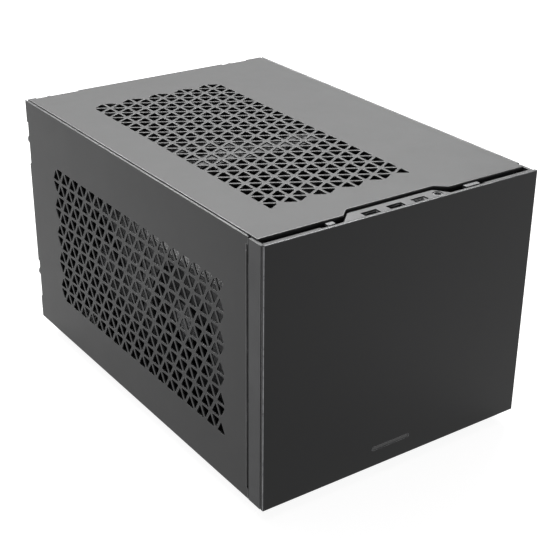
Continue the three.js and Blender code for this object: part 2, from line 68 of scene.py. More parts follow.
# ------------------------------------------------------------------ materials
class Mat:
    """A Principled material whose patterns come from object coordinates, in metres."""

    def __init__(self, name, base, rough, metallic=0.0, specular=0.5, ior=1.5, coat=0.0, coat_rough=0.2):
        self.m = bpy.data.materials.new(name)
        self.m.use_nodes = True
        self.t = self.m.node_tree
        self.t.nodes.clear()
        self.out = self.t.nodes.new("ShaderNodeOutputMaterial")
        self.b = self.t.nodes.new("ShaderNodeBsdfPrincipled")
        self.link(self.b.outputs["BSDF"], self.out.inputs["Surface"])
        self.co = self.t.nodes.new("ShaderNodeTexCoord").outputs["Object"]
        self.b.inputs["Base Color"].default_value = (*base, 1)
        self.b.inputs["Roughness"].default_value = rough
        self.b.inputs["Metallic"].default_value = metallic
        self.b.inputs["Specular IOR Level"].default_value = specular
        self.b.inputs["IOR"].default_value = ior
        self.b.inputs["Coat Weight"].default_value = coat
        self.b.inputs["Coat Roughness"].default_value = coat_rough
        self.base = base
        self.m.diffuse_color = (*base, 1)

    def link(self, a, b):
        self.t.links.new(a, b)

    def vec(self, scale=(1, 1, 1), rot=(0, 0, 0)):
        n = self.t.nodes.new("ShaderNodeMapping")
        n.inputs["Scale"].default_value = scale
        n.inputs["Rotation"].default_value = rot
        self.link(self.co, n.inputs["Vector"])
        return n.outputs["Vector"]

    def noise(self, scale, detail=3.0, rough=0.55, vec=None, distortion=0.0):
        n = self.t.nodes.new("ShaderNodeTexNoise")
        n.inputs["Scale"].default_value = scale
        n.inputs["Detail"].default_value = detail
        n.inputs["Roughness"].default_value = rough
        n.inputs["Distortion"].default_value = distortion
        self.link(vec or self.co, n.inputs["Vector"])
        return n.outputs["Fac"]

    def voronoi(self, scale, feature="F1", vec=None, out="Distance", randomness=1.0):
        n = self.t.nodes.new("ShaderNodeTexVoronoi")
        n.feature = feature
        n.inputs["Scale"].default_value = scale
        n.inputs["Randomness"].default_value = randomness
        self.link(vec or self.co, n.inputs["Vector"])
        return n.outputs[out]

    def wave(self, scale, vec=None, kind="BANDS", direction="X", distortion=0.0, profile="SIN"):
        n = self.t.nodes.new("ShaderNodeTexWave")
        n.wave_type = kind
        n.bands_direction = direction
        n.wave_profile = profile
        n.inputs["Scale"].default_value = scale
        n.inputs["Distortion"].default_value = distortion
        self.link(vec or self.co, n.inputs["Vector"])
        return n.outputs["Fac"]

    def span(self, sock, a, b, lo, hi, smooth=False):
        n = self.t.nodes.new("ShaderNodeMapRange")
        n.interpolation_type = "SMOOTHSTEP" if smooth else "LINEAR"
        n.inputs["From Min"].default_value = a
        n.inputs["From Max"].default_value = b
        n.inputs["To Min"].default_value = lo
        n.inputs["To Max"].default_value = hi
        self.link(sock, n.inputs["Value"])
        return n.outputs["Result"]

    def math(self, op, a, b):
        n = self.t.nodes.new("ShaderNodeMath")
        n.operation = op
        for s, k in ((a, 0), (b, 1)):
            if isinstance(s, (int, float)):
                n.inputs[k].default_value = s
            else:
                self.link(s, n.inputs[k])
        return n.outputs["Value"]

    def mix(self, fac, a, b):
        n = self.t.nodes.new("ShaderNodeMix")
        n.data_type = "RGBA"
        self.link(fac, n.inputs[0])
        for s, k in ((a, 6), (b, 7)):
            if isinstance(s, tuple):
                n.inputs[k].default_value = (*s, 1)
            else:
                self.link(s, n.inputs[k])
        return n.outputs[2]

    def colour(self, sock):
        self.link(sock, self.b.inputs["Base Color"])

    def rough(self, sock):
        self.link(sock, self.b.inputs["Roughness"])

    def metal(self, sock):
        self.link(sock, self.b.inputs["Metallic"])

    def bump(self, height, distance, strength=1.0, normal=None):
        n = self.t.nodes.new("ShaderNodeBump")
        n.inputs["Distance"].default_value = distance
        n.inputs["Strength"].default_value = strength
        self.link(height, n.inputs["Height"])
        if normal is not None:
            self.link(normal, n.inputs["Normal"])
        self.link(n.outputs["Normal"], self.b.inputs["Normal"])
        return n.outputs["Normal"]


def scaled(c, k):
    return tuple(min(1.0, x * k) for x in c)


def powder(name, base, rough, specular=0.5, grain=1150, depth=0.000014, spread=0.07):
    """Powder coat: faint tone drift, fine orange peel, a little roughness drift and dust."""
    m = Mat(name, base, rough, 0.0, specular)
    drift = m.noise(9, 3, 0.6)
    speck = m.noise(2600, 1, 0.5)
    tone = m.math("ADD", m.math("MULTIPLY", drift, 0.75), m.math("MULTIPLY", speck, 0.25))
    m.colour(m.mix(m.span(tone, 0.3, 0.7, 0, 1), scaled(base, 1 - spread * 0.55), scaled(base, 1 + spread)))
    m.rough(m.span(m.math("ADD", m.noise(38, 4, 0.6), m.math("MULTIPLY", m.noise(900, 2), 0.9)), 0.6, 1.3, rough - 0.02, rough + 0.03))
    m.bump(m.noise(grain, 2, 0.5), depth, 1.0)
    return m


def worn_edge(name, base, rough, under=(0.36, 0.36, 0.37), amount=0.5, specular=0.5):
    """The rounded edges of a coated part: rubbed lighter and smoother, with a few thin spots."""
    m = Mat(name, base, rough, 0.0, specular)
    rub = m.span(m.noise(55, 4, 0.65), 0.42, 0.66, 0, 1, True)
    spot = m.span(m.noise(420, 3, 0.6), 0.66 - 0.06 * amount, 0.74 - 0.04 * amount, 0, 1, True)
    worn = m.mix(rub, base, scaled(base, 1.5))
    m.colour(m.mix(m.math("MULTIPLY", spot, rub), worn, under))
    m.rough(m.span(rub, 0, 1, rough, rough - 0.08))
    m.metal(m.span(m.math("MULTIPLY", spot, rub), 0, 1, 0.0, 0.75))
    m.bump(m.noise(700, 2, 0.5), 0.000015, 0.7)
    return m


def moulded(name, base, rough, specular=0.4, grain=1500, depth=0.00002):
    """Moulded plastic with a fine spark-eroded texture."""
    m = Mat(name, base, rough, 0.0, specular, 1.49)
    m.colour(m.mix(m.noise(22, 3, 0.6), scaled(base, 0.84), scaled(base, 1.2)))
    m.rough(m.span(m.math("ADD", m.noise(30, 3), m.math("MULTIPLY", m.voronoi(grain), 0.3)), 0.4, 0.9, rough - 0.05, rough + 0.07))
    m.bump(m.math("ADD", m.voronoi(grain), m.noise(grain * 0.6, 2)), depth, 0.8)
    return m


def brushed(name, base, rough, metallic, along=(1, 1, 1), specular=0.5, scale=900, tone=0.12, depth=0.000005):
    """Metal brushed along the axis whose scale is small."""
    m = Mat(name, base, rough, metallic, specular)
    v = m.vec(along)
    lines = m.noise(scale, 4, 0.7, v)
    cloud = m.noise(14, 3, 0.6)
    m.colour(m.mix(m.math("ADD", m.math("MULTIPLY", lines, 0.7), m.math("MULTIPLY", cloud, 0.3)), scaled(base, 1 - tone), scaled(base, 1 + tone)))
    m.rough(m.span(m.math("ADD", lines, m.math("MULTIPLY", cloud, 0.6)), 0.5, 1.1, rough - 0.05, rough + 0.07))
    m.bump(lines, depth, 0.6)
    return m


PANEL = (0.0245, 0.0247, 0.0251)
BLACK = (0.02, 0.0205, 0.0215)
panel = powder("panel_powder_coat", PANEL, 0.42, 0.145)
panel_edge = worn_edge("panel_powder_coat_edge", scaled(PANEL, 2.2), 0.36)
steel = powder("chassis_powder_coat", BLACK, 0.5, 0.4, 900)
steel_edge = worn_edge("chassis_powder_coat_edge", scaled(BLACK, 1.7), 0.4)

front = Mat("front_anodised", (0.0132, 0.0134, 0.014), 0.36, 0.0, 0.14)
_l = front.noise(700, 4, 0.7, front.vec((0.03, 1, 1)))
_c = front.noise(7, 3, 0.55)
front.colour(front.mix(front.math("ADD", front.math("MULTIPLY", _l, 0.4), front.math("MULTIPLY", _c, 0.6)), (0.0098, 0.0099, 0.0103), (0.0116, 0.0118, 0.0122)))
front.rough(front.span(front.math("ADD", _l, _c), 0.7, 1.3, 0.33, 0.4))
front.bump(_l, 0.000004, 0.6)
front_edge = Mat("front_anodised_chamfer", (0.16, 0.162, 0.168), 0.3, 0.55, 0.5)
_e = front_edge.noise(160, 4, 0.6)
front_edge.colour(front_edge.mix(front_edge.span(_e, 0.35, 0.7, 0, 1), (0.12, 0.122, 0.127), (0.23, 0.232, 0.24)))
front_edge.rough(front_edge.span(_e, 0.3, 0.7, 0.24, 0.38))
front_edge.bump(front_edge.noise(900, 2), 0.000006, 0.5)
mark = Mat("front_inlay", (0.006, 0.006, 0.0065), 0.22, 0.0, 0.5)
mark.rough(mark.span(mark.noise(300, 3), 0.3, 0.7, 0.18, 0.3))
mark.bump(mark.noise(1400, 2), 0.000006, 0.5)

bezel = moulded("bezel_plastic", (0.036, 0.0364, 0.0377), 0.46, 0.2)
bezel_edge = moulded("bezel_plastic_edge", (0.075, 0.076, 0.078), 0.36)
shelf_top = moulded("bezel_shelf_plastic", (0.055, 0.0558, 0.0575), 0.45, 0.2)
cap = moulded("button_cap", (0.07, 0.0713, 0.0745), 0.44, 0.25, 1100, 0.000012)
cap_edge = moulded("button_cap_edge", (0.11, 0.112, 0.116), 0.36, 0.3, 1100, 0.00001)
rubber = moulded("foot_rubber", (0.016, 0.016, 0.017), 0.78, 0.3, 700, 0.00005)
screw = brushed("screw_black_plate", (0.035, 0.035, 0.037), 0.34, 0.55, (1, 0.2, 1), 0.5, 1200, 0.2, 0.00001)
screw_edge = worn_edge("screw_plate_edge", (0.06, 0.06, 0.063), 0.3, (0.5, 0.5, 0.51), 1.0)
zinc = brushed("zinc_plate", (0.52, 0.53, 0.54), 0.34, 0.95, (1, 1, 0.05), 0.5, 500, 0.12)
zinc_edge = brushed("zinc_plate_edge", (0.66, 0.67, 0.68), 0.28, 0.95, (1, 1, 0.05), 0.5, 500, 0.1)
nickel = brushed("connector_shell", (0.6, 0.6, 0.61), 0.27, 0.98, (1, 0.1, 1), 0.5, 900, 0.1)
nickel_edge = brushed("connector_shell_edge", (0.75, 0.75, 0.76), 0.22, 0.98, (1, 0.1, 1), 0.5, 900, 0.1)
# front port shells: the tinned steel is drawn dark as painted shade for the shade inside the port openings; the rim is
# darkened a little less
shaded_port_shell = brushed("port_shell_painted_shade", (0.085, 0.085, 0.088), 0.4, 0.9, (1, 0.1, 1), 0.5, 900, 0.14)
shaded_port_rim = brushed("port_shell_rim_painted_shade", (0.16, 0.16, 0.164), 0.34, 0.9, (1, 0.1, 1), 0.5, 900, 0.12)
gold = brushed("gold_contacts", (0.83, 0.6, 0.22), 0.25, 1.0, (1, 0.1, 1), 0.5, 900, 0.1)
alloy = brushed("fin_aluminium", (0.035, 0.036, 0.038), 0.38, 0.6, (0.06, 1, 1), 0.5, 700, 0.12)
alloy_edge = brushed("fin_aluminium_edge", (0.10, 0.102, 0.107), 0.32, 0.7, (0.06, 1, 1), 0.5, 700, 0.1)
copper = brushed("heat_pipe_nickel", (0.12, 0.12, 0.125), 0.28, 0.9, (1, 1, 0.1), 0.5, 400, 0.1)
dark_alloy = brushed("dark_anodised", (0.035, 0.037, 0.041), 0.36, 0.4, (0.05, 1, 1), 0.5, 800, 0.18)
dark_alloy_edge = brushed("dark_anodised_edge", (0.13, 0.135, 0.145), 0.28, 0.6, (0.05, 1, 1), 0.5, 800, 0.18)
fan = moulded("fan_plastic", (0.018, 0.0185, 0.0195), 0.45, 0.4, 1200, 0.000015)
fan_edge = moulded("fan_plastic_edge", (0.035, 0.036, 0.038), 0.36, 0.4, 1200, 0.00001)
plug = moulded("connector_plastic", (0.014, 0.014, 0.015), 0.5, 0.4, 1500)
white_plug = moulded("connector_plastic_pale", (0.5, 0.5, 0.48), 0.42, 0.4, 1500)
sticker = moulded("plain_label", (0.07, 0.071, 0.074), 0.3, 0.5, 600, 0.000004)

pcb = Mat("solder_mask", (0.012, 0.015, 0.018), 0.34, 0.0, 0.5)
_t = pcb.math("MAXIMUM", pcb.span(pcb.wave(95, None, "BANDS", "X", 2.2), 0.72, 0.8, 0, 1, True), pcb.span(pcb.wave(80, None, "BANDS", "Y", 1.8), 0.78, 0.86, 0, 1, True))
_t = pcb.math("MULTIPLY", _t, pcb.span(pcb.voronoi(55, out="Color"), 0.35, 0.5, 0, 1, True))
_v = pcb.span(pcb.voronoi(260), 0.10, 0.14, 1, 0, True)
_t2 = pcb.math("MAXIMUM", _t, pcb.math("MULTIPLY", _v, 0.8))
pcb.colour(pcb.mix(_t2, (0.010, 0.0125, 0.015), (0.03, 0.037, 0.042)))
pcb.rough(pcb.span(pcb.noise(40, 3), 0.3, 0.7, 0.28, 0.42))
pcb.bump(_t2, 0.00003, 0.6)
chip = moulded("chip_package", (0.011, 0.011, 0.012), 0.42, 0.4, 1700, 0.00001)
chip_edge = moulded("chip_package_edge", (0.03, 0.03, 0.032), 0.36, 0.4, 1700, 0.00001)
solder = brushed("tinned_leads", (0.62, 0.62, 0.63), 0.32, 0.95, (1, 1, 1), 0.5, 900, 0.15)

sleeve = Mat("braided_sleeve", (0.014, 0.014, 0.015), 0.62, 0.0, 0.35)
_w1 = sleeve.wave(900, sleeve.vec((1, 1, 1), (0.6, 0.5, 0.785)), "BANDS", "X")
_w2 = sleeve.wave(900, sleeve.vec((1, 1, 1), (-0.6, 0.5, -0.785)), "BANDS", "X")
_w = sleeve.math("MULTIPLY", _w1, _w2)
sleeve.colour(sleeve.mix(_w, (0.007, 0.007, 0.0075), (0.03, 0.03, 0.032)))
sleeve.rough(sleeve.span(_w, 0, 1, 0.72, 0.5))
sleeve.bump(_w, 0.00012, 0.8)
wire = moulded("wire_pvc", (0.017, 0.017, 0.018), 0.4, 0.45, 500, 0.00001)


# ------------------------------------------------------------------ shape kit
class Geo:
    """Closed shells in millimetres, each face with a material index."""

    def __init__(self):
        self.v, self.f, self.m = [], [], []

    def add(self, verts, faces, mats=0):
        o = len(self.v)
        self.v += [tuple(p) for p in verts]
        self.f += [tuple(i + o for i in f) for f in faces]
        self.m += [mats] * len(faces) if isinstance(mats, int) else list(mats)
        return self

    def box(self, x0, x1, y0, y1, z0, z1, c=0.25, m=0, e=1, turn=None):
        """A block with every edge chamfered by c. turn is a 4x4 matrix applied after."""
        x0, x1 = min(x0, x1), max(x0, x1)
        y0, y1 = min(y0, y1), max(y0, y1)
        z0, z1 = min(z0, z1), max(z0, z1)
        c = min(c, (x1 - x0) * 0.35, (y1 - y0) * 0.35, (z1 - z0) * 0.35)
        lo, hi = (x0, y0, z0), (x1, y1, z1)
        idx, verts = {}, []
        for s in [(a, b, d) for a in (0, 1) for b in (0, 1) for d in (0, 1)]:
            for ax in range(3):
                p = []
                for k in range(3):
                    edge = hi[k] if s[k] else lo[k]
                    p.append(edge if k == ax else edge + (-c if s[k] else c))
                idx[s, ax] = len(verts)
                verts.append(p)
        faces, mats = [], []
        for ax in range(3):
            a, b = [k for k in range(3) if k != ax]
            for side in (0, 1):
                q = []
                for u, w in ((0, 0), (1, 0), (1, 1), (0, 1)):
                    s = [0, 0, 0]
                    s[ax], s[a], s[b] = side, u, w
                    q.append(idx[tuple(s), ax])
                faces.append(q); mats.append(m)
        for ax in range(3):          # the 12 edges run along ax
            a, b = [k for k in range(3) if k != ax]
            for u in (0, 1):
                for w in (0, 1):
                    s0, s1 = [0, 0, 0], [0, 0, 0]
                    s0[a] = s1[a] = u
                    s0[b] = s1[b] = w
                    s0[ax], s1[ax] = 0, 1
                    s0, s1 = tuple(s0), tuple(s1)
                    faces.append([idx[s0, a], idx[s1, a], idx[s1, b], idx[s0, b]]); mats.append(e)
        for s in [(a, b, d) for a in (0, 1) for b in (0, 1) for d in (0, 1)]:
            faces.append([idx[s, 0], idx[s, 1], idx[s, 2]]); mats.append(e)
        if turn is not None:
            verts = [turn @ Vector(p) for p in verts]
        return self.add(verts, faces, mats)

    def plate(self, outline, holes, w0, w1, mp, c=0.3, ch=0.15, m=0, e=1, ci=None, inner=None):
        """A flat sheet from w0 (seen side) to w1 with rounded rims: outline and holes are
        (u, v) polygons, mp turns (u, v, w) into x, y, z."""
        loops = []
        for poly, cc, side in [(outline, c, 1)] + [(h, ch, -1) for h in holes]:
            poly = [tuple(p) for p in poly]
            if sum(poly[i - 1][0] * poly[i][1] - poly[i][0] * poly[i - 1][1] for i in range(len(poly))) < 0:
                poly = poly[::-1]
            loops.append((poly, cc, side))
        pts, edges, owner = [], [], []
        for li, (poly, _, _) in enumerate(loops):
            o = len(pts)
            pts += poly
            owner += [li] * len(poly)
            edges += [(o + i, o + (i + 1) % len(poly)) for i in range(len(poly))]
        v, _, f, ov, _, _ = delaunay_2d_cdt([Vector(p) for p in pts], edges, [], 1, 1e-6, True)
        back = [o[0] if o else None for o in ov]
        tris = []
        for t in f:
            q = [back[i] for i in t]
            if None in q:
                continue
            own = {owner[i] for i in q}
            if len(own) == 1:
                li = own.pop()
                cx = sum(pts[i][0] for i in q) / 3
                cy = sum(pts[i][1] for i in q) / 3
                inside = False
                poly = loops[li][0]
                for i in range(len(poly)):
                    (xa, ya), (xb, yb) = poly[i - 1], poly[i]
                    if (ya > cy) != (yb > cy) and cx < (xb - xa) * (cy - ya) / (yb - ya) + xa:
                        inside = not inside
                if (li == 0) != inside:
                    continue
            tris.append(q)
        t = abs(w1 - w0)
        s = 1 if w1 > w0 else -1

        def ring(k):                 # k 0..5: outer face, bend, wall, wall, bend, inner face
            out = []
            for poly, cc, side in loops:
                back_c = cc if ci is None else min(cc, ci)
                a, b = min(cc, t * 0.45), min(back_c, t * 0.45)
                off, w = ((a, w0), (a * 0.29, w0 + s * a * 0.29), (0, w0 + s * a), (0, w1 - s * b), (b * 0.29, w1 - s * b * 0.29), (b, w1))[k]
                n = len(poly)
                for i in range(n):
                    (x0, y0), (x1, y1), (x2, y2) = poly[i - 1], poly[i], poly[(i + 1) % n]
                    l1, l2 = math.hypot(x1 - x0, y1 - y0) or 1, math.hypot(x2 - x1, y2 - y1) or 1
                    n1, n2 = (-(y1 - y0) / l1, (x1 - x0) / l1), (-(y2 - y1) / l2, (x2 - x1) / l2)
                    k2 = 1 + n1[0] * n2[0] + n1[1] * n2[1]
                    k2 = max(k2, 0.35)
                    out.append(mp(x1 + side * off * (n1[0] + n2[0]) / k2, y1 + side * off * (n1[1] + n2[1]) / k2, w))
            return out
        verts = []
        n = len(pts)
        for k in range(6):
            verts += ring(k)
        faces, mats = [], []
        for q in tris:
            faces.append(q); mats.append(m)
            faces.append([i + 5 * n for i in reversed(q)]); mats.append(m if inner is None else inner)
        for k in range(5):
            for a, b in edges:
                faces.append([k * n + a, k * n + b, (k + 1) * n + b, (k + 1) * n + a])
                mats.append(m if k == 2 else e)
        return self.add(verts, faces, mats)

    def lathe(self, centre, axis, profile, n=32, m=0, mats=None, wobble=None):
        """Revolves (r, a) pairs about the axis through centre; a runs along the axis."""
        ax = "xyz".index(axis)
        p, q = [(1, 2), (2, 0), (0, 1)][ax]
        verts, rings = [], []
        for r, a in profile:
            if r < 1e-6:
                c = list(centre)
                c[ax] += a
                rings.append([len(verts)] * n)
                verts.append(c)
                continue
            row = []
            for i in range(n):
                t = 2 * math.pi * i / n
                rr = r * (wobble(i, a) if wobble else 1)
                c = list(centre)
                c[ax] += a
                c[p] += rr * math.cos(t)
                c[q] += rr * math.sin(t)
                row.append(len(verts))
                verts.append(c)
            rings.append(row)
        faces, fm = [], []
        for k in range(len(rings) - 1):
            for i in range(n):
                j = (i + 1) % n
                f = []
                for x in (rings[k][i], rings[k][j], rings[k + 1][j], rings[k + 1][i]):
                    if x not in f:
                        f.append(x)
                if len(f) > 2:
                    faces.append(f); fm.append(mats[k] if mats else m)
        return self.add(verts, faces, fm)

    def tube(self, pts, r, n=10, m=0, closed_ends=True, squash=1.0):
        """A round tube along a line of points."""
        pts = [Vector(p) for p in pts]
        t0 = (pts[1] - pts[0]).normalized()
        up = Vector((0, 0, 1)) if abs(t0.z) < 0.9 else Vector((1, 0, 0))
        a = t0.cross(up).normalized()
        verts, rings = [], []
        for i, p in enumerate(pts):
            t = (pts[min(i + 1, len(pts) - 1)] - pts[max(i - 1, 0)]).normalized()
            a = (a - t * a.dot(t)).normalized()
            b = t.cross(a)
            row = []
            for k in range(n):
                w = 2 * math.pi * k / n
                row.append(len(verts))
                verts.append(p + a * (r * math.cos(w)) + b * (r * squash * math.sin(w)))
            rings.append(row)
        faces = []
        for i in range(len(rings) - 1):
            for k in range(n):
                j = (k + 1) % n
                faces.append([rings[i][k], rings[i][j], rings[i + 1][j], rings[i + 1][k]])
        if closed_ends:
            faces.append(rings[0][::-1])
            faces.append(rings[-1])
        return self.add(verts, faces, m)


def piece(name, geo, mats, body, replaces=(), sharp=50, weld=0.0):
    """Turns a Geo into an object with clean normals that rides on a body."""
    me = bpy.data.meshes.new(name)
    me.from_pydata([(x * MM, y * MM, z * MM) for x, y, z in geo.v], [], geo.f)
    for m in mats:
        me.materials.append(m.m)
    me.polygons.foreach_set("material_index", [min(i, len(mats) - 1) for i in geo.m])
    bm = bmesh.new()
    bm.from_mesh(me)
    if weld:
        bmesh.ops.remove_doubles(bm, verts=bm.verts, dist=weld * MM)
    bmesh.ops.recalc_face_normals(bm, faces=bm.faces)
    for f in bm.faces:
        f.smooth = True
    for e in bm.edges:
        if len(e.link_faces) == 2 and e.calc_face_angle(0) > math.radians(sharp):
            e.smooth = False
    bm.to_mesh(me)
    bm.free()
    o = bpy.data.objects.new(name, me)
    bpy.context.scene.collection.objects.link(o)
    w = o.modifiers.new("weighted", "WEIGHTED_NORMAL")
    w.mode = "FACE_AREA"
    w.weight = 60
    w.keep_sharp = True
    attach(o, body)
    if replaces:
        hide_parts(*replaces)
    return o


def keep(node, mats, width=0.3, seg=2, angle=35):
    """A CAD node that stays: softened edges and its own materials."""
    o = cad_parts[node]
    o.data.materials.clear()
    for m in mats:
        o.data.materials.append(m.m)
    o.data.polygons.foreach_set("material_index", [0] * len(o.data.polygons))
    o.data.shade_smooth()
    w = o.modifiers.new("weld", "WELD")
    w.merge_threshold = 0.00001
    d = o.modifiers.new("flat", "DECIMATE")
    d.decimate_type = "DISSOLVE"
    d.angle_limit = math.radians(1)
    b = o.modifiers.new("round", "BEVEL")
    b.width = width * MM
    b.segments = seg
    b.limit_method = "ANGLE"
    b.angle_limit = math.radians(angle)
    b.material = len(mats) - 1
    b.harden_normals = False
    n = o.modifiers.new("weighted", "WEIGHTED_NORMAL")
    n.mode = "FACE_AREA"
    n.weight = 60
    return o


def circle(cx, cy, r, n=24, turn=0.0):
    return [(cx + r * math.cos(turn + 2 * math.pi * i / n), cy + r * math.sin(turn + 2 * math.pi * i / n)) for i in range(n)]


def round_rect(x0, x1, y0, y1, r, n=5):
    out = []
    for cx, cy, a0 in ((x1 - r, y0 + r, -90), (x1 - r, y1 - r, 0), (x0 + r, y1 - r, 90), (x0 + r, y0 + r, 180)):
        for i in range(n):
            a = math.radians(a0 + 90 * i / (n - 1))
            out.append((cx + r * math.cos(a), cy + r * math.sin(a)))
    return out


def rect(x0, x1, y0, y1):
    return [(x0, y0), (x1, y0), (x1, y1), (x0, y1)]


def rounded(poly, r, n=4):
    """Rounds every corner of a polygon by radius r."""
    out = []
    k = len(poly)
    for i in range(k):
        p0, p1, p2 = Vector(poly[i - 1]), Vector(poly[i]), Vector(poly[(i + 1) % k])
        d1, d2 = (p0 - p1), (p2 - p1)
        l1, l2 = d1.length, d2.length
        d1.normalize(); d2.normalize()
        half = math.acos(max(-1, min(1, d1.dot(d2)))) / 2
        if half > math.radians(88):
            out.append(tuple(p1)); continue
        reach = min(r / math.tan(half), l1 * 0.48, l2 * 0.48)
        rr = reach * math.tan(half)
        c = p1 + (d1 + d2).normalized() * (rr / math.sin(half))
        a, b = p1 + d1 * reach - c, p1 + d2 * reach - c
        ang = a.angle_signed(b)
        for j in range(n + 1):
            t = -ang * j / n
            out.append((c.x + a.x * math.cos(t) - a.y * math.sin(t), c.y + a.x * math.sin(t) + a.y * math.cos(t)))
    return out


FX = lambda u, v, w: (w, u, v)          # outline in (y, z), thickness along x
FY = lambda u, v, w: (u, w, v)          # outline in (x, z), thickness along y
FZ = lambda u, v, w: (u, v, w)          # outline in (x, y), thickness along z


def catmull(points, per=8):
    pts = [Vector(p) for p in points]
    ext = [pts[0] * 2 - pts[1]] + pts + [pts[-1] * 2 - pts[-2]]
    out = []
    for i in range(1, len(ext) - 2):
        a, b, c, d = ext[i - 1:i + 3]
        for k in range(per):
            t = k / per
            out.append(0.5 * ((2 * b) + (c - a) * t + (2 * a - 5 * b + 4 * c - d) * t * t + (3 * b - a - 3 * c + d) * t ** 3))
    out.append(pts[-1])
    return out


class Rand:
    """A small fixed number sequence, so that each run is the same."""

    def __init__(self, seed):
        self.s = seed

    def __call__(self, lo=0.0, hi=1.0):
        self.s = (self.s * 1103515245 + 12345) % 2147483648
        return lo + (hi - lo) * self.s / 2147483648


# ------------------------------------------------------------------ outer panels
VENT_A = 14.7                       # side of one lattice triangle
VENT_H = VENT_A * math.sqrt(3) / 2
VENT_R = 3.14                       # inradius of a hole


def vent(cx, cy, up, corner=0.85):
    """A rounded triangle about (cx, cy): up is the direction of its apex, in radians."""
    out = []
    d = 2 * (VENT_R - corner)
    for k in range(3):
        a = up + k * 2 * math.pi / 3
        for j in range(4):
            t = a + math.radians(-60 + 40 * j)
            out.append((cx + d * math.cos(a) + corner * math.cos(t), cy + d * math.sin(a) + corner * math.sin(t)))
    return out


def lattice(s0, top, sign, rows=10, cols=18):
    """Vent holes as (s, t): s runs forward from the rear edge; each row steps from top by
    sign * VENT_H, and 'down' is the way the rows step."""
    holes = []
    down = math.copysign(math.pi / 2, sign)
    for r in range(rows):
        t0 = top + sign * r * VENT_H          # the row's upper line
        base = t0 + sign * VENT_H             # and its lower line
        for k in range(cols):
            near, far = s0 + (k + 0.5) * VENT_A, s0 + (k + 1.0) * VENT_A
            a, b = (near, far) if r % 2 == 0 else (far, near)
            holes.append(vent(a, base - sign * VENT_H / 3, -down))       # stands on the lower line
            holes.append(vent(b, t0 + sign * VENT_H / 3, down))          # hangs from the upper line
    return holes


XO, Y_REAR, Z0, Z1 = 123.5, 178.5, 10.0, 219.0
SCREW_X, SCREW_Z = 116.3, (181.0, 53.0)
HIGH, LOW = (161.0, 199.0), (30.7, 67.0)

for side, name in ((-1, "left_panel"), (1, "right_panel")):
    g = Geo()
    skin = lambda u, v, w, s=side: (s * w, Y_REAR - u, v)
    lip, hem = (343.1, 343.0) if side < 0 else (344.3, 345.0)
    outline = [(0, Z0), (345.1, Z0), (345.1, 19), (lip, 19), (lip, 212.7), (345.1, 212.7), (345.1, 218.7), (0, 218.7),
               (0, HIGH[1]), (2, HIGH[1]), (2, HIGH[0]), (0, HIGH[0]), (0, LOW[1]), (2, LOW[1]), (2, LOW[0]), (0, LOW[0])]
    vents = lattice(45.07, 174.15, -1) if side < 0 else lattice(45.07 + 9 * VENT_A, 174.15 - 2 * VENT_H, -1, 8, 9)
    g.plate(outline, vents, XO, XO - 1.2, skin, c=0.42, ch=0.2, m=0, e=1, inner=0)
    # folded hems inside the top, bottom and front edges
    g.plate(rounded([(1.5, Z0 + 0.1), (hem, Z0 + 0.1), (hem, 218.55), (1.5, 218.55)], 0.6, 3),
            [rounded([(-0.4 + 2.6, 14.0), (340.2, 14.0), (340.2, 214.7), (2.2, 214.7)], 1.4, 4)],
            XO - 1.15, XO - 2.0, skin, c=0.3, ch=0.25)
    S = lambda x0, x1: (side * x0, side * x1)
    for z0, z1 in ((16, LOW[0]), (LOW[1], HIGH[0]), (HIGH[1], 205)):
        g.box(*S(111, 122.4), Y_REAR - 1.2, Y_REAR - 0.02, z0, z1, 0.3)
    for (z0, z1), zs in ((HIGH, SCREW_Z[0]), (LOW, SCREW_Z[1])):
        tab = lambda u, v, w, s=side: (s * u, w, v)
        g.plate(rounded([(110, z0 + 0.05), (122.4, z0 + 0.05), (122.4, z1 - 0.05), (110, z1 - 0.05)], 1.2, 3),
                [circle(SCREW_X, zs, 2.25, 24)], 176.5, 175.3, tab, c=0.25, ch=0.2)
        g.box(*S(111, 122.4), 175.35, Y_REAR, z0 - 1.2, z0 + 0.1, 0.25)
        g.box(*S(111, 122.4), 175.35, Y_REAR, z1 - 0.1, z1 + 1.2, 0.25)
    # pressed hooks along the upper and lower hems
    for s in (40, 120, 200, 280):
        for z0, z1 in ((215.4, 217.4), (11.2, 13.2)):
            g.box(*S(XO - 2.4, XO - 1.9), Y_REAR - s - 14, Y_REAR - s, z0, z1, 0.2)
    piece(name + "_sheet", g, [panel, panel_edge], name, (name,))

g = Geo()
roof = lambda u, v, w: (v, Y_REAR - u, w)
edge = lambda i: [(352.3 - i, -120.7 + i), (352.3 - i, -50.2 - i * 0.5), (344.8 - i, -42.3 - i * 0.3), (344.8 - i, 37.3 + i * 0.3), (352.3 - i, 45.3 + i * 0.5), (352.3 - i, 120.7 - i)]
outline = edge(0) + [(0, 120.7), (0, 103.9), (2, 103.9), (2, 76.4), (0, 76.4), (0, -73.3), (2, -73.3), (2, -113.2), (0, -113.2), (0, -120.7)]
g.plate(outline, lattice(45.47, -85.65, 1), Z1, Z1 - 1.2, roof, c=0.5, ch=0.2)
g.plate(edge(0) + [(0.2, 120.7), (0.2, -120.7)], [edge(1.2) + [(3.2, 119.5), (3.2, -119.5)]], Z1 - 1.15, 215.9, roof, c=0.05, ch=0.05, ci=0.3)
for x0, x1 in ((-118, -113.2), (-73.3, 76.4), (103.9, 118)):
    g.box(x0, x1, Y_REAR - 1.2, Y_REAR - 0.02, 207, Z1 - 1.15, 0.3)
for x0, x1, xs in ((-113.2, -73.3, -98.3), (76.4, 103.9, 88.5)):
    g.plate(rounded(rect(x0 + 0.05, x1 - 0.05, 206, Z1 - 1.1), 1.0, 3), [circle(xs, 211.8, 2.25, 24)], 176.5, 175.3, FY, c=0.25, ch=0.2)
    for xa, xb in ((x0 - 1.2, x0 + 0.1), (x1 - 0.1, x1 + 1.2)):
        g.box(xa, xb, 175.35, Y_REAR, 207, Z1 - 1.1, 0.25)
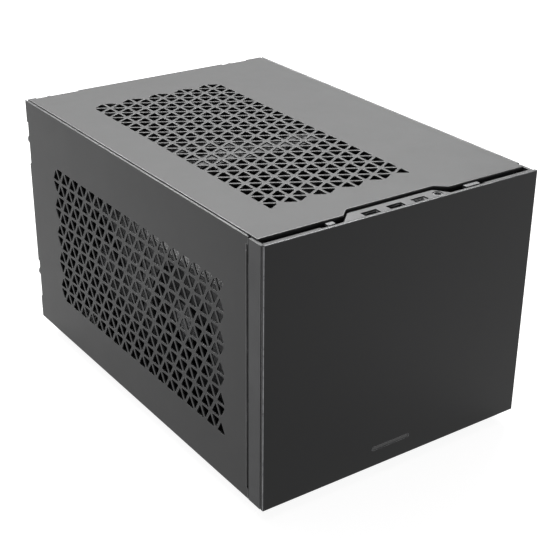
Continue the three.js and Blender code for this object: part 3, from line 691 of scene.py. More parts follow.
piece("top_panel_sheet", g, [panel, panel_edge], "top_panel", ("top_panel",))


# ------------------------------------------------------------------ panel screws
def thumbscrew(name, x, z):
    g = Geo()
    n = 72
    knurl = lambda i, a: 1.0 if i % 3 else 0.955
    prof = [(1.6, 0.0), (4.1, 0.0), (4.75, 0.5), (5.0, 0.75), (5.0, 6.1), (4.7, 6.6), (4.2, 6.9)]
    g.lathe((x, 178.4, z), "y", prof, n, mats=[0, 1, 1, 0, 1, 1], wobble=lambda i, a: knurl(i, a) if 0.6 < a < 6.5 else 1.0)
    # face: shallow ring, then a dished centre with a slot across
    cross = []
    for k in range(4):
        a = k * math.pi / 2
        for u, v in ((2.6, -0.45), (2.6, 0.45), (0.45, 0.45)):
            cross.append((x + u * math.cos(a) - v * math.sin(a), z + u * math.sin(a) + v * math.cos(a)))
    g.plate(circle(x, z, 4.2, 36), [cross], 185.3, 183.2, FY, c=0.18, ch=0.12)
    g.lathe((x, 178.4, z), "y", [(0, 4.8), (4.1, 4.8), (4.1, 4.6), (0, 4.6)], 24)
    prof = [(0, -9.0), (1.1, -9.0)]
    a = -8.6
    while a < -0.6:
        prof += [(1.62, a), (1.35, a + 0.3)]
        a += 0.6
    prof += [(1.6, 0.2), (0, 0.2)]
    g.lathe((x, 178.4, z), "y", prof, 20)
    piece(name, g, [screw, screw_edge], name.replace("_knurled", ""), (name.replace("_knurled", ""),))


def washer(name, x, z):
    g = Geo()
    g.lathe((x, 176.8, z), "y", [(2.1, 0.15), (2.25, 0.0), (4.45, 0.0), (4.6, 0.15), (4.6, 0.75), (4.4, 0.97), (2.3, 0.97), (2.1, 0.8), (2.1, 0.15)], 36, mats=[1, 0, 1, 0, 1, 0, 1, 0])
    piece(name + "_ring", g, [zinc, zinc_edge], name, (name,), weld=0.001)


for tag, x, z in (("left_upper", -SCREW_X, 181), ("left_lower", -SCREW_X, 53), ("right_upper", SCREW_X, 181), ("right_lower", SCREW_X, 53), ("top_left", -98.3, 211.8), ("top_right", 88.5, 211.8)):
    thumbscrew("thumbscrew_" + tag + "_knurled", x, z)
    washer("washer_" + tag, x, z)


# ------------------------------------------------------------------ front
g = Geo()
plate_out = rounded(rect(-XO, XO, Z0, Z1), 0.8, 4)
pill = round_rect(-24, 12, 24.2, 27.4, 1.59, 6)
g.plate(plate_out, [pill], -185.5, -182.7, FY, c=0.42, ch=0.18)
g.plate(round_rect(-23.99, 11.99, 24.21, 27.39, 1.58, 6), [], -185.15, -183.6, FY, c=0.1, ch=0.1, m=2, e=2)
piece("front_plate_anodised", g, [front, front_edge, mark], "chassis", ("front_plate",))

# port shelf and side walls carry over from the frame, with soft edges
keep("front_frame", [bezel, bezel_edge], 0.28, 2, 32)

PORT_Y = -178.4
g = Geo()       # skin of the port shelf with rounded port openings
shelf = [(-56.8, -182.35), (41.5, -182.35), (32.6, -170.4), (-44.1, -170.4)]
usb_holes = [round_rect(x - 6.9, x + 6.9, PORT_Y - 3.2, PORT_Y + 3.2, 0.7, 4) for x in (-29.9, -7.6)]
c_hole = round_rect(13.8 - 6.5, 13.8 + 6.5, PORT_Y - 2.9, PORT_Y + 2.9, 1.0, 5)
jack_hole = circle(31.7, PORT_Y + 0.9, 3.95, 32)
g.plate(rounded([(a * 1.0, b) for a, b in shelf], 0.5, 3), usb_holes + [c_hole, jack_hole], 218.05, 217.75, FZ, c=0.12, ch=0.12, m=0, e=1)
g.plate(round_rect(13.8 - 6.42, 13.8 + 6.42, PORT_Y - 2.82, PORT_Y + 2.82, 1.0, 5), [round_rect(13.8 - 4.85, 13.8 + 4.85, PORT_Y - 2.0, PORT_Y + 2.0, 1.9, 7)], 217.2, 216.82, FZ, c=0.05, ch=0.12, m=0, e=1)
piece("port_shelf_skin", g, [shelf_top, bezel_edge], "chassis")


def button_cap(name, body, x0, x1, y0, y1, m):
    g = Geo()
    top, seat = 217.6, 209.1
    out = rounded(rect(x0, x1, y0, y1), 0.9, 4)
    g.plate(out, [], top, seat, FZ, c=0.5, ch=0.2, ci=0.2)
    cx, cy = (x0 + x1) / 2, (y0 + y1) / 2
    g.plate(round_rect(cx - (x1 - x0) * 0.3, cx + (x1 - x0) * 0.3, cy - 0.55, cy + 0.55, 0.5, 4), [], top + 0.06, top - 0.5, FZ, c=0.05, ch=0.05, m=1, e=1)
    g.box(x0 + m + 0.5, x1 - m - 0.5, y0 + 1.4, y1 - 1.4, 204, 209.5, 0.2)
    g.box(x0 + m - 0.6, x1 - m + 0.6, y0 + 0.6, y1 - 0.6, 203.3, 205.2, 0.2)
    piece(name, g, [cap, cap_edge], body, (body,))


button_cap("reset_button_cap", "reset_button", -67, -60.3, -179.2, -174.6, 1.2)
button_cap("power_button_cap", "power_button", 58.4, 72.2, -178.8, -173.8, 2.4)

for i, x in enumerate((-29.9, -7.6)):
    g = Geo()
    g.plate(round_rect(x - 6.55, x + 6.55, PORT_Y - 2.85, PORT_Y + 2.85, 0.6, 4), [round_rect(x - 6.1, x + 6.1, PORT_Y - 2.4, PORT_Y + 2.4, 0.4, 4)], 216.9, 206.0, FZ, c=0.12, ch=0.12)
    g.box(x - 6.5, x + 6.5, PORT_Y - 2.8, PORT_Y + 2.8, 200.5, 206.0, 0.2)
    g.box(x - 5.5, x + 5.5, PORT_Y + 0.1, PORT_Y + 1.9, 205, 215.4, 0.25, 2, 2)
    for k in range(4):
        xc = x - 3.6 + k * 2.4
        g.box(xc - 0.5, xc + 0.5, PORT_Y - 0.02, PORT_Y + 0.2, 206, 213.8, 0.05, 3, 3)
    for xs in (x - 3.6, x + 3.6):      # latch springs
        g.box(xs - 0.9, xs + 0.9, PORT_Y - 2.45, PORT_Y - 2.0, 208.5, 213.5, 0.15)
    piece("front_usb_port_%d" % (i + 1), g, [shaded_port_shell, shaded_port_rim, plug, gold], "chassis", ("front_usb_a_%d" % (i + 1),))

g = Geo()
g.plate(round_rect(13.8 - 4.5, 13.8 + 4.5, PORT_Y - 1.65, PORT_Y + 1.65, 1.6, 7), [round_rect(13.8 - 4.15, 13.8 + 4.15, PORT_Y - 1.3, PORT_Y + 1.3, 1.28, 7)], 216.7, 208, FZ, c=0.1, ch=0.1)
g.box(13.8 - 4.4, 13.8 + 4.4, PORT_Y - 1.6, PORT_Y + 1.6, 200.5, 208.0, 0.3)
g.box(13.8 - 3.35, 13.8 + 3.35, PORT_Y - 0.35, PORT_Y + 0.35, 207, 216, 0.12, 2, 2)
for k in range(8):
    g.box(13.8 - 2.9 + k * 0.8, 13.8 - 2.6 + k * 0.8, PORT_Y - 0.38, PORT_Y + 0.38, 210, 215.4, 0.03, 3, 3)
piece("front_small_port", g, [shaded_port_shell, shaded_port_rim, plug, gold], "chassis", ("front_usb_c",))

g = Geo()
g.lathe((31.7, PORT_Y + 0.9, 0), "z", [(0, 200.5), (3.6, 200.5), (3.75, 200.7), (3.75, 217.3), (3.55, 217.6), (2.6, 217.7), (2.2, 217.3), (1.95, 216.6), (1.8, 216.2), (1.8, 204.0), (0, 204.0)], 40, mats=[0, 1, 0, 1, 1, 0, 0, 2, 0, 0])
for k in range(3):
    a = 0.5 + k * 2.1
    g.box(31.7 + 1.5 * math.cos(a) - 0.35, 31.7 + 1.5 * math.cos(a) + 0.35, PORT_Y + 0.9 + 1.5 * math.sin(a) - 0.35, PORT_Y + 0.9 + 1.5 * math.sin(a) + 0.35, 206, 213, 0.1, 3, 3)
piece("front_audio_socket", g, [plug, bezel_edge, nickel, gold], "chassis", ("front_audio_jack",))

g = Geo()
g.plate(rounded(rect(-72, 78, -180.2, -171.4), 1.2, 4), [circle(-40, -173.6, 1.3, 16), circle(40, -173.6, 1.3, 16)], 200.2, 198.6, FZ, c=0.12, ch=0.1)
g.box(-66.3, -61, -178.8, -175, 200, 202, 0.2, 2, 2)
g.box(62, 68.6, -178.2, -174.4, 200, 202, 0.2, 2, 2)
rnd = Rand(5)
for k in range(26):
    x = -58 + k * 4.3
    if abs(x + 29.9) < 8 or abs(x + 7.6) < 8 or abs(x - 13.8) < 6 or abs(x - 31.7) < 5:
        continue
    g.box(x, x + 1.6, -177 + rnd(0, 2), -175.4 + rnd(0, 1), 200.1, 200.9, 0.1, 2, 3)
piece("front_port_board", g, [pcb, pcb, chip, solder], "chassis", ("front_io_board",))

# ------------------------------------------------------------------ chassis
for n in ("chassis_base", "chassis_front", "chassis_rail_left", "chassis_rail_right", "cross_brace", "psu_case"):
    keep(n, [steel, steel_edge], 0.25, 2)


def hexes(cx, cz, r, pitch, flat):
    out = []
    rows = int(r / (pitch * 0.866)) + 1
    for j in range(-rows, rows + 1):
        for i in range(-int(r / pitch) - 2, int(r / pitch) + 3):
            x = cx + (i + (0.5 if j % 2 else 0)) * pitch
            z = cz + j * pitch * 0.866
            if math.hypot(x - cx, z - cz) < r - flat * 0.55:
                out.append(circle(x, z, flat / math.sqrt(3), 6, math.pi / 6))
    return out


g = Geo()
holes = hexes(18, 128, 56.5, 6.3, 5.1)
holes += [round_rect(-48, 110.75, 17, 61.5, 0.8, 3)]
holes += [round_rect(a, b, 24, 122, 0.8, 3) for a, b in ((-68, -56), (-88.5, -76.5), (-109, -97))]
holes += [round_rect(93 - 13.8, 93 + 13.8, 190 - 10.8, 190 + 10.8, 2.0, 5)]
holes += [circle(s * SCREW_X, z, 1.95, 20) for s in (-1, 1) for z in SCREW_Z] + [circle(x, 211.8, 1.95, 20) for x in (-98.3, 88.5)]
holes += [circle(18 + a, 128 + b, 2.1, 20) for a in (-52.5, 52.5) for b in (-52.5, 52.5)]
g.plate(rounded(rect(-119.5, 119.5, 11.3, 215.3), 1.0, 3), holes, 174.5, 173.3, FY, c=0.3, ch=0.18)
for s in (-1, 1):
    g.box(s * 118.3, s * 119.5, 163, 173.5, 30.5, 215.3, 0.3)
g.box(-119.5, 119.5, 163, 173.5, 214.1, 215.3, 0.3)
# raised bead round the fan grille
g.lathe((18, 173.9, 128), "y", [(58.2, 0.45), (58.6, 0.9), (59.4, 1.0), (60.2, 0.9), (60.6, 0.45), (58.2, 0.45)], 72, m=0)
piece("chassis_rear_sheet", g, [steel, steel_edge], "chassis", ("chassis_rear",), weld=0.0005)

g = Geo()
for a in (-52.5, 52.5):
    for b in (-52.5, 52.5):
        g.lathe((18 + a, 174.5, 128 + b), "y", [(0, -8), (2.0, -8), (2.0, 0.0), (4.2, 0.0), (4.0, 1.0), (3.0, 1.9), (1.4, 2.2), (1.2, 1.2), (0, 1.2)], 24, mats=[0, 0, 0, 1, 0, 0, 1, 0])
piece("rear_fan_screws", g, [screw, screw_edge], "chassis", weld=0.0005)

for node, sx, sy in (("foot_front_left", -1, -150), ("foot_front_right", 1, -150), ("foot_rear_left", -1, 146), ("foot_rear_right", 1, 146)):
    g = Geo()
    g.lathe((sx * 94, sy, 0), "z", [(0, 2.6), (3.2, 2.6), (3.4, 0.5), (4.4, 0.0), (12.0, 0.0), (13.2, 0.35), (14.2, 1.2), (14.7, 2.6), (15, 4), (15, 5.2), (14.5, 5.5), (14.5, 6.3), (15, 6.6), (15, 10.4), (14.7, 10.9), (0, 10.9)], 56)
    piece(node + "_pad", g, [rubber], "chassis", (node,), weld=0.0005)


# ------------------------------------------------------------------ fans
def place(axis, a, b, d):
    """(a, b) across the fan and d along its axis, to x, y, z."""
    return (a, d, b) if axis == "y" else (d, a, b)


def fan_frame(name, node, axis, ca, cb, d0, d1, strut):
    g = Geo()
    mp = lambda u, v, w: place(axis, u, v, w)
    corner = [circle(ca + i, cb + j, 2.2, 16) for i in (-52.5, 52.5) for j in (-52.5, 52.5)]
    for a, b in ((d0, d0 + 4), (d1 - 4, d1)):
        g.plate(round_rect(ca - 60, ca + 60, cb - 60, cb + 60, 6, 7), [circle(ca, cb, 57.5, 72)] + corner, a, b, mp, c=0.4, ch=0.4)
    ax = axis
    prof = [(57.5, d0 + 3.6), (57.5, d1 - 3.6), (59.4, d1 - 3.6), (59.4, d0 + 3.6), (57.5, d0 + 3.6)]
    centre = (ca, 0, cb) if axis == "y" else (0, ca, cb)
    g.lathe(centre, ax, prof, 72)
    for i in (-1, 1):
        for j in (-1, 1):
            c = (ca + i * 52.5, 0, cb + j * 52.5) if axis == "y" else (0, ca + i * 52.5, cb + j * 52.5)
            g.lathe(c, ax, [(2.2, d0 + 3.8), (2.2, d1 - 3.8), (3.7, d1 - 3.8), (3.7, d0 + 3.8), (2.2, d0 + 3.8)], 20)
    s0, s1 = (d0, d0 + 3) if strut < 0 else (d1 - 3, d1)
    g.lathe(centre, ax, [(0, s0), (19.2, s0), (20, s0 + 0.6), (20, s1 - 0.6), (19.2, s1), (0, s1)], 48)
    for k in range(4):
        t = math.radians(45 + 90 * k + 8)
        pts = []
        for j in range(9):
            r = 18 + 40.5 * j / 8
            tt = t - 0.28 * j / 8
            pts.append(place(axis, ca + r * math.cos(tt), cb + r * math.sin(tt), (s0 + s1) / 2))
        g.tube(pts, 1.45, 8)
    piece(name, g, [fan, fan_edge], "chassis", (node,), weld=0.0005)


def rotor(name, body, axis, ca, cb, d0, d1, hub, tip, blades, flip=1, front_low=True):
    """Hub with a domed cap, and swept, twisted blades with an aerofoil section."""
    g = Geo()
    centre = (ca, 0, cb) if axis == "y" else (0, ca, cb)
    if front_low:
        prof = [(0, d0), (hub - 2.6, d0), (hub - 1.0, d0 + 0.5), (hub, d0 + 1.8), (hub, d1 - 0.4), (hub - 0.4, d1), (0, d1)]
    else:
        prof = [(0, d1), (hub - 2.6, d1), (hub - 1.0, d1 - 0.5), (hub, d1 - 1.8), (hub, d0 + 0.4), (hub - 0.4, d0), (0, d0)]
    g.lathe(centre, axis, prof, 56, mats=[0, 1, 1, 0, 1, 0])
    face = d0 if front_low else d1
    out = -1 if front_low else 1
    g.lathe(centre, axis, [(0, face + out * 0.02), (hub * 0.62, face + out * 0.02), (hub * 0.62, face - out * 0.4), (0, face - out * 0.4)], 40, m=2)
    mid, depth = (d0 + d1) / 2, (d1 - d0) * 0.40
    nr, nc = 12, 10
    for k in range(blades):
        t0 = 2 * math.pi * k / blades
        top, bot = [], []
        for i in range(nr + 1):
            f = i / nr
            r = (hub - 1.0) + (tip - hub + 1.0) * f
            chord = (2 * math.pi / blades) * (1.0 + 0.06 * f)
            sweep = 0.30 * f * f
            pitch = depth * (1.0 - 0.25 * f)
            for j in range(nc + 1):
                q = j / nc
                a = t0 + flip * (sweep + chord * (q - 0.5))
                camber = 1.6 * math.sin(math.pi * q) * (0.5 + 0.5 * f)
                d = mid + pitch * (1 - 2 * q) + camber
                th = 0.75 * math.sin(math.pi * (0.12 + 0.76 * q)) + 0.12
                x, y = ca + r * math.cos(a), cb + r * math.sin(a)
                lo, hi = max(d0 + 0.3, d - th), min(d1 - 0.3, d + th)
                top.append(place(axis, x, y, hi))
                bot.append(place(axis, x, y, lo))
        n = len(top)
        idx = lambda i, j: i * (nc + 1) + j
        faces = []
        for i in range(nr):
            for j in range(nc):
                faces.append([idx(i, j), idx(i + 1, j), idx(i + 1, j + 1), idx(i, j + 1)])
                faces.append([n + idx(i, j), n + idx(i, j + 1), n + idx(i + 1, j + 1), n + idx(i + 1, j)])
        rim = [idx(0, j) for j in range(nc + 1)] + [idx(i, nc) for i in range(1, nr + 1)] + [idx(nr, j) for j in range(nc - 1, -1, -1)] + [idx(i, 0) for i in range(nr - 1, 0, -1)]
        for u in range(len(rim)):
            a, b = rim[u - 1], rim[u]
            faces.append([a, b, n + b, n + a])
        g.add(top + bot, faces, 0)
    piece(name, g, [fan, fan_edge, sticker], body, (body,))


fan_frame("rear_fan_shell", "rear_fan_frame", "y", 18, 128, 147.9, 172.9, -1)
rotor("rear_fan_blades", "rear_fan_rotor", "y", 18, 128, 151.6, 170.5, 19, 55, 9, -1, False)
fan_frame("cooler_fan_shell", "cpu_fan_frame", "y", 23, 122, 59.4, 84.4, 1)
rotor("cooler_fan_blades", "cpu_fan_rotor", "y", 23, 122, 61, 80.6, 19, 55, 9, 1, True)
rotor("card_fan_blades_1", "gpu_fan_rotor_1", "x", 104, 86, -93.6, -77.5, 17, 45, 11, 1, True)
rotor("card_fan_blades_2", "gpu_fan_rotor_2", "x", -30, 86, -93.6, -77.5, 17, 45, 11, -1, True)
rotor("supply_fan_blades", "psu_fan_rotor", "x", -71, 87.7, 97, 115, 19, 54, 9, 1, False)

# ------------------------------------------------------------------ main board
g = Geo()
mount = [(-53.5, 8.5), (103.5, 8.5), (-53.5, 161.5), (103.5, 161.5)]
g.plate(rounded(rect(-60, 110, 1.5, 171.5), 1.5, 4), [circle(x, y, 1.9, 20) for x, y in mount], 20.6, 19.0, FZ, c=0.1, ch=0.1, m=0, e=0)
for x, y in mount:
    g.lathe((x, y, 20.6), "z", [(0, -2), (1.8, -2), (1.8, 0.02), (3.4, 0.02), (3.3, 0.9), (2.2, 1.7), (1.1, 1.9), (1.0, 1.0), (0, 1.0)], 24, m=3)
# processor socket and its frame
g.plate(rounded(rect(1, 45, 73, 117), 2, 4), [rect(7, 39, 79, 111)], 23.6, 20.6, FZ, c=0.3, ch=0.3, m=3, e=3)
g.box(7.5, 38.5, 79.5, 110.5, 20.6, 24.2, 0.5, 3, 3)
# regulator heatsink, finned
g.box(52, 104, 126, 146, 20.6, 30, 0.5, 4, 5)
for k in range(11):
    g.box(53 + k * 4.7, 55.2 + k * 4.7, 126.4, 145.6, 29.9, 44, 0.3, 4, 5)
# chipset heatsink
g.box(-36, -14, 62, 142, 20.6, 24.5, 0.5, 4, 5)
for k in range(14):
    g.box(-35.5, -14.5, 63.5 + k * 5.7, 66.5 + k * 5.7, 24.4, 28, 0.3, 4, 5)
# memory sockets
for y0, y1 in ((11, 17.5), (21, 27.5)):
    ym = (y0 + y1) / 2
    g.box(-42, 98, y0, ym - 1.0, 20.6, 27, 0.3, 1, 2)
    g.box(-42, 98, ym + 1.0, y1, 20.6, 27, 0.3, 1, 2)
    g.box(-42, 98, ym - 1.1, ym + 1.1, 20.6, 23, 0.1, 1, 2)
    for xa, xb in ((-42, -38.6), (95.9, 98)):
        g.box(xa, xb, ym - 2.4, ym + 2.4, 22, 30.5, 0.5, 1, 2)
# main power socket
g.box(101, 109, 32, 84, 20.6, 33, 0.3, 1, 2)
# card slot
g.box(-58.5, -55.4, 52, 141, 20.6, 30.6, 0.3, 1, 2)
g.box(-52.6, -49.5, 52, 141, 20.6, 30.6, 0.3, 1, 2)
g.box(-55.5, -52.5, 52, 54, 20.6, 30.6, 0.2, 1, 2)
g.box(-55.5, -52.5, 139, 141, 20.6, 30.6, 0.2, 1, 2)
g.box(-58.4, -49.6, 141, 145, 20.6, 26, 0.5, 1, 2)
# inductors, capacitors and small parts
rnd = Rand(11)
for k in range(7):
    g.box(50, 56.5, 72 + k * 7.4, 78.5 + k * 7.4, 20.6, 27.5, 0.6, 2, 2)
    g.box(58.2, 62.2, 73 + k * 7.4, 77.6 + k * 7.4, 20.6, 22.0, 0.2, 1, 2)
for k in range(5):
    g.box(2 + k * 8.2, 8.6 + k * 8.2, 121.5, 128, 20.6, 27.5, 0.6, 2, 2)
for x, y in [(66 + k * 7, 118) for k in range(6)] + [(70, 60), (78, 60), (86, 60), (-20, 48), (-28, 48), (-48, 38), (-48, 30), (12, 138), (20, 138), (-4, 146), (-12, 146), (58, 50), (58, 42)]:
    g.lathe((x, y, 20.6), "z", [(0, 0), (3.2, 0), (3.2, 0.9), (2.95, 1.2), (3.05, 1.5), (3.05, 7.6), (2.7, 8.0), (0, 8.0)], 20, mats=[1, 1, 1, 3, 3, 3, 3])
for x0, x1, y0, y1 in ((66, 80, 90, 104), (84, 91, 92, 99), (-8, -1, 55, 62), (14, 24, 36, 46), (32, 38, 44, 52), (-56, -46, 10, 17), (96, 99.5, 92, 108), (-46, -40, 60, 78), (64, 70, 36, 44), (80, 94, 38, 48)):
    g.box(x0, x1, y0, y1, 20.6, 22.0, 0.2, 1, 2)
    n = int((x1 - x0) / 1.2)
    for k in range(n):
        g.box(x0 + 0.5 + k * 1.2, x0 + 1.0 + k * 1.2, y0 - 0.8, y1 + 0.8, 20.6, 21.0, 0.03, 3, 3)
for k in range(240):
    x, y = rnd(-57, 106), rnd(30, 150)
    w, h = (1.8, 0.9) if rnd() > 0.5 else (0.9, 1.8)
    g.box(x, x + w, y, y + h, 20.5, 21.3, 0.08, 3 if k % 3 else 2, 3)
for x0, x1, y0, y1, h in ((84, 98, 52, 57, 29), (-10, -2, 33, 38, 28), (6, 12, 33, 38, 28), (40, 50, 52, 57, 29), (-34, -24, 34, 40, 28)):
    g.box(x0, x1, y0, y1, 20.6, h, 0.3, 1, 2)
    for k in range(int((x1 - x0) / 2.54)):
        g.box(x0 + 1 + k * 2.54, x0 + 1.6 + k * 2.54, (y0 + y1) / 2 - 0.3, (y0 + y1) / 2 + 0.3, h - 0.1, h + 2.4, 0.05, 6, 6)
piece("main_board_assembly", g, [pcb, plug, chip, solder, dark_alloy, dark_alloy_edge, gold], "chassis", ("motherboard",))

for i, y0 in ((1, 12.2), (2, 22.2)):
    g = Geo()
    out = [(-38, 27.3), (-38, 53), (-33, 58), (-8, 58), (-4, 55.6), (61, 55.6), (65, 58), (90.3, 58), (95.3, 53), (95.3, 27.3)]
    for ya, yb in ((y0, y0 + 1.5), (y0 + 4, y0 + 2.5)):
        g.plate(rounded([(x, max(z, 29.5)) for x, z in out], 0.9, 3), [round_rect(-26 + k * 20, -12 + k * 20, 37, 39, 0.9, 4) for k in range(6)], ya, yb, FY, c=0.35, ch=0.2, m=0, e=1)
    g.plate(rounded(rect(-37.5, 94.8, 24.5, 56), 0.5, 3), [], y0 + 1.45, y0 + 2.55, FY, c=0.05, ch=0.05, m=2, e=2)
    for k in range(60):
        x = -34 + k * 2.1
        if 24 < x < 28:
            continue
        g.box(x, x + 1.2, y0 + 1.4, y0 + 2.6, 24.6, 27.6, 0.03, 3, 3)
    piece("memory_stick_%d" % i, g, [dark_alloy, dark_alloy_edge, pcb, gold], "chassis", ("ram_%d" % i,))

# rear ports of the board
g = Geo()
g.box(-42, 106, 150, 168, 20.9, 24, 0.2, 2, 2)


def shell(x0, x1, z0, z1, y0=152, y1=175.8, openings=()):
    """A metal connector can, open at the rear by the given rectangles."""
    g.plate(rounded(rect(x0, x1, z0, z1), 0.5, 3), [round_rect(a, b, c, d, min(0.5, (d - c) * 0.4), 3) for a, b, c, d in openings], y1, y1 - 9, FY, c=0.2, ch=0.12)
    g.box(x0 + 0.1, x1 - 0.1, y0, y1 - 8.9, z0 + 0.1, z1 - 0.1, 0.3)


def usb_tongue(x, z):
    g.box(x - 5.5, x + 5.5, 166, 175, z - 0.1, z + 1.6, 0.15, 2, 2)
    for k in range(4):
        g.box(x - 4.0 + k * 2.4, x - 3.1 + k * 2.4, 167.5, 174.4, z - 0.16, z + 0.1, 0.03, 3, 3)


shell(91, 105, 20.9, 37, openings=[(98 - 6.1, 98 + 6.1, z - 2.4, z + 2.4) for z in (25.5, 33)])
shell(44, 58, 20.9, 37, openings=[(51 - 6.1, 51 + 6.1, z - 2.4, z + 2.4) for z in (25.5, 33)])
for x in (98, 51):
    for z in (25.5, 33):
        usb_tongue(x, z)
shell(18, 35, 20.9, 52, openings=[(26.5 - 6.1, 26.5 + 6.1, z - 2.4, z + 2.4) for z in (25.5, 33)] + [(20.6, 32.4, 39.5, 48.5)])
for z in (25.5, 33):
    usb_tongue(26.5, z)
for k in range(8):
    g.box(22.4 + k * 1.05, 22.75 + k * 1.05, 167.5, 174, 46.2, 46.8, 0.05, 3, 3)
g.box(24.8, 28.2, 168, 175.5, 38.7, 39.6, 0.2, 2, 2)
shell(66, 83, 20.9, 45, openings=[(67.2, 81.8, 23, 28.2), (67.2, 81.8, 36, 41.5)])
for z in (25.4, 38.6):
    g.box(68.6, 80.4, 167, 175, z - 0.7, z + 0.7, 0.15, 2, 2)
shell(0, 10, 20.9, 36, openings=[(1.3, 8.7, 23, 26.4), (1.3, 8.7, 29.6, 33)])
shell(-40, -20, 20.9, 55, openings=[])
for z in (27.5, 37.8, 48):
    g.lathe((-30, 175.8, z), "y", [(1.75, -9), (1.75, 0.1), (2.2, 0.7), (3.3, 0.7), (3.7, 0.2), (3.7, -0.5), (0, -0.5)], 28, mats=[2, 1, 2, 2, 2, 2])
    g.lathe((-30, 175.8, z), "y", [(0, 0.12), (1.75, 0.12), (1.75, -0.3), (0, -0.3)], 24, m=4)
piece("rear_port_block", g, [nickel, nickel_edge, plug, gold, chip], "chassis", ("rear_io_ports",))

g = Geo()
towers = [(91, 105, 37), (66, 83, 45), (44, 58, 37), (18, 35, 52), (0, 10, 36), (-40, -20, 55)]
g.plate(rounded(rect(-47.7, 110.45, 17.3, 61.2), 1.0, 3), [rounded(rect(a - 0.4, b + 0.4, 20.4, t + 0.4), 0.6, 3) for a, b, t in towers]
        + [circle(x, 57, 1.3, 14) for x in range(-38, 106, 6) if not -43 < x < -17] + [circle(x, 50, 1.3, 14) for x in list(range(-10, 14, 6)) + list(range(44, 104, 6))], 174.3, 173.6, FY, c=0.2, ch=0.12)
piece("port_surround", g, [zinc, zinc_edge], "chassis", ("io_shield",))

# ------------------------------------------------------------------ processor cooler
g = Geo()
fin = [(-37, 86), (-37, 134), (-34, 134.9), (20, 134.9), (23, 133), (26, 134.9), (80, 134.9), (83, 134), (83, 86), (80, 85.1), (60, 85.1), (56, 87), (-10, 87), (-14, 85.1), (-34, 85.1)]
pipes = [(CX + 23, 102) for CX in (-15, -5, 5, 15)] + [(-22, 100), (-10, 118), (56, 118), (68, 100)]
count = 46
for k in range(count):
    z = 62.2 + k * (176.0 - 62.2) / (count - 1)
    g.plate(fin, [], z + 0.42, z, FZ, c=0.12, ch=0.1, m=0, e=1)
for s in (-36.6, 82.2):
    g.box(s, s + 0.4, 92, 100, 62.2, 176.3, 0.1, 0, 1)
    g.box(s, s + 0.4, 120, 128, 62.2, 176.3, 0.1, 0, 1)
g.box(3, 43, 76, 116, 24.5, 27.5, 0.4, 2, 2)
g.box(5, 41, 78, 114, 27.4, 36, 0.6, 0, 1)
for k in range(8):
    g.box(7 + k * 4.2, 8.6 + k * 4.2, 79, 113, 35.8, 40.5, 0.2, 0, 1)
for dx, end, yy in ((-15, -22, 104), (-5, -10, 116), (5, 56, 116), (15, 68, 104)):
    x = 23 + dx
    path = catmull([(x, 76, 31), (x, 90, 31), (x, 100, 31.5), (x + (end - x) * 0.25, yy - 2, 36), (x + (end - x) * 0.8, yy, 48), (end, yy, 60), (end, yy, 80), (end, yy, 176)], 7)
    g.tube(path, 3.0, 14, 2)
    g.lathe((end, yy, 175.6), "z", [(3.0, -1), (3.0, 0), (2.4, 0.5), (1.0, 0.85), (0, 0.9)], 16, m=2)
for x in (-1, 47):     # mounting bar screws
    g.lathe((x if x > 0 else 0.5, 95, 24.2), "z", [(0, 0), (2.6, 0), (2.6, 9), (3.6, 9.2), (3.6, 12), (3.2, 12.4), (0, 12.4)], 20, m=1)
piece("processor_cooler_fins", g, [alloy, alloy_edge, copper], "chassis", ("cpu_heatsink",))

# ------------------------------------------------------------------ graphics card
g = Geo()
g.plate(rounded(rect(-96, 170, 34, 138), 2, 4), [circle(y, z, 1.6, 16) for y in (-88, -10, 96, 150) for z in (42, 130)], -53.2, -54.8, FX, c=0.1, ch=0.1, m=0, e=0)
g.plate(rounded(rect(56, 137, 24.6, 34.6), 0.5, 2), [], -53.25, -54.75, FX, c=0.1, ch=0.1, m=0, e=0)
for k in range(72):
    y = 58 + k * 1.06
    if 69.5 < y < 72.5:
        continue
    g.box(-54.86, -53.14, y, y + 0.7, 25, 31, 0.02, 3, 3)
# back plate with slots
g.plate(rounded([(-95, 37), (-95, 135), (-60, 137), (164, 137), (168, 133), (168, 60), (160, 46), (140, 37)], 2, 4),
        [round_rect(-86 + k * 7, -83 + k * 7, 60, 112, 1.4, 5) for k in range(9)] + [round_rect(96 + k * 7, 99 + k * 7, 70, 118, 1.4, 5) for k in range(7)],
        -51.4, -52.6, FX, c=0.4, ch=0.2, m=4, e=5)
for y in (-88, -10, 96, 150):
    for z in (42, 130):
        g.lathe((-53.2, y, z), "x", [(0, -1.5), (1.4, -1.5), (1.4, 1.7), (2.6, 1.8), (2.5, 2.5), (1.2, 2.9), (0, 2.6)], 18, m=3)
g.box(-53.4, -45.0, 34, 56, 126, 140, 0.3, 1, 2)
for j in range(4):
    for z in (129.5, 136):
        g.box(-52 + 0, -46.4, 36 + j * 5.0, 39.6 + j * 5.0, z, z + 0.05 + 4.05 if z < 131 else z + 3.9, 0.2, 2, 2)
for z in (50, 72, 94):
    g.box(-66, -54.7, 160, 171.4, z, z + 16, 0.3, 6, 6)
    g.plate(rounded([(-66, z + 1.2), (-64.6, z), (-59.4, z), (-58, z + 1.2), (-58, z + 14.8), (-59.4, z + 16), (-64.6, z + 16), (-66, z + 14.8)], 0.5, 2), [round_rect(-64.6, -59.4, z + 1.6, z + 14.4, 0.8, 4)], 174.0, 167, FY, c=0.15, ch=0.1, m=6, e=6)
    g.box(-63, -61, 166, 173, z + 3, z + 13, 0.2, 1, 2)
rnd = Rand(23)
for k in range(90):
    y, z = rnd(-92, 160), rnd(38, 132)
    g.box(-54.75, -55.6, y, y + 1.8, z, z + 1.0, 0.08, 3, 3)
piece("graphics_board_assembly", g, [pcb, plug, chip, gold, dark_alloy, dark_alloy_edge, nickel], "chassis", ("gpu_board",))

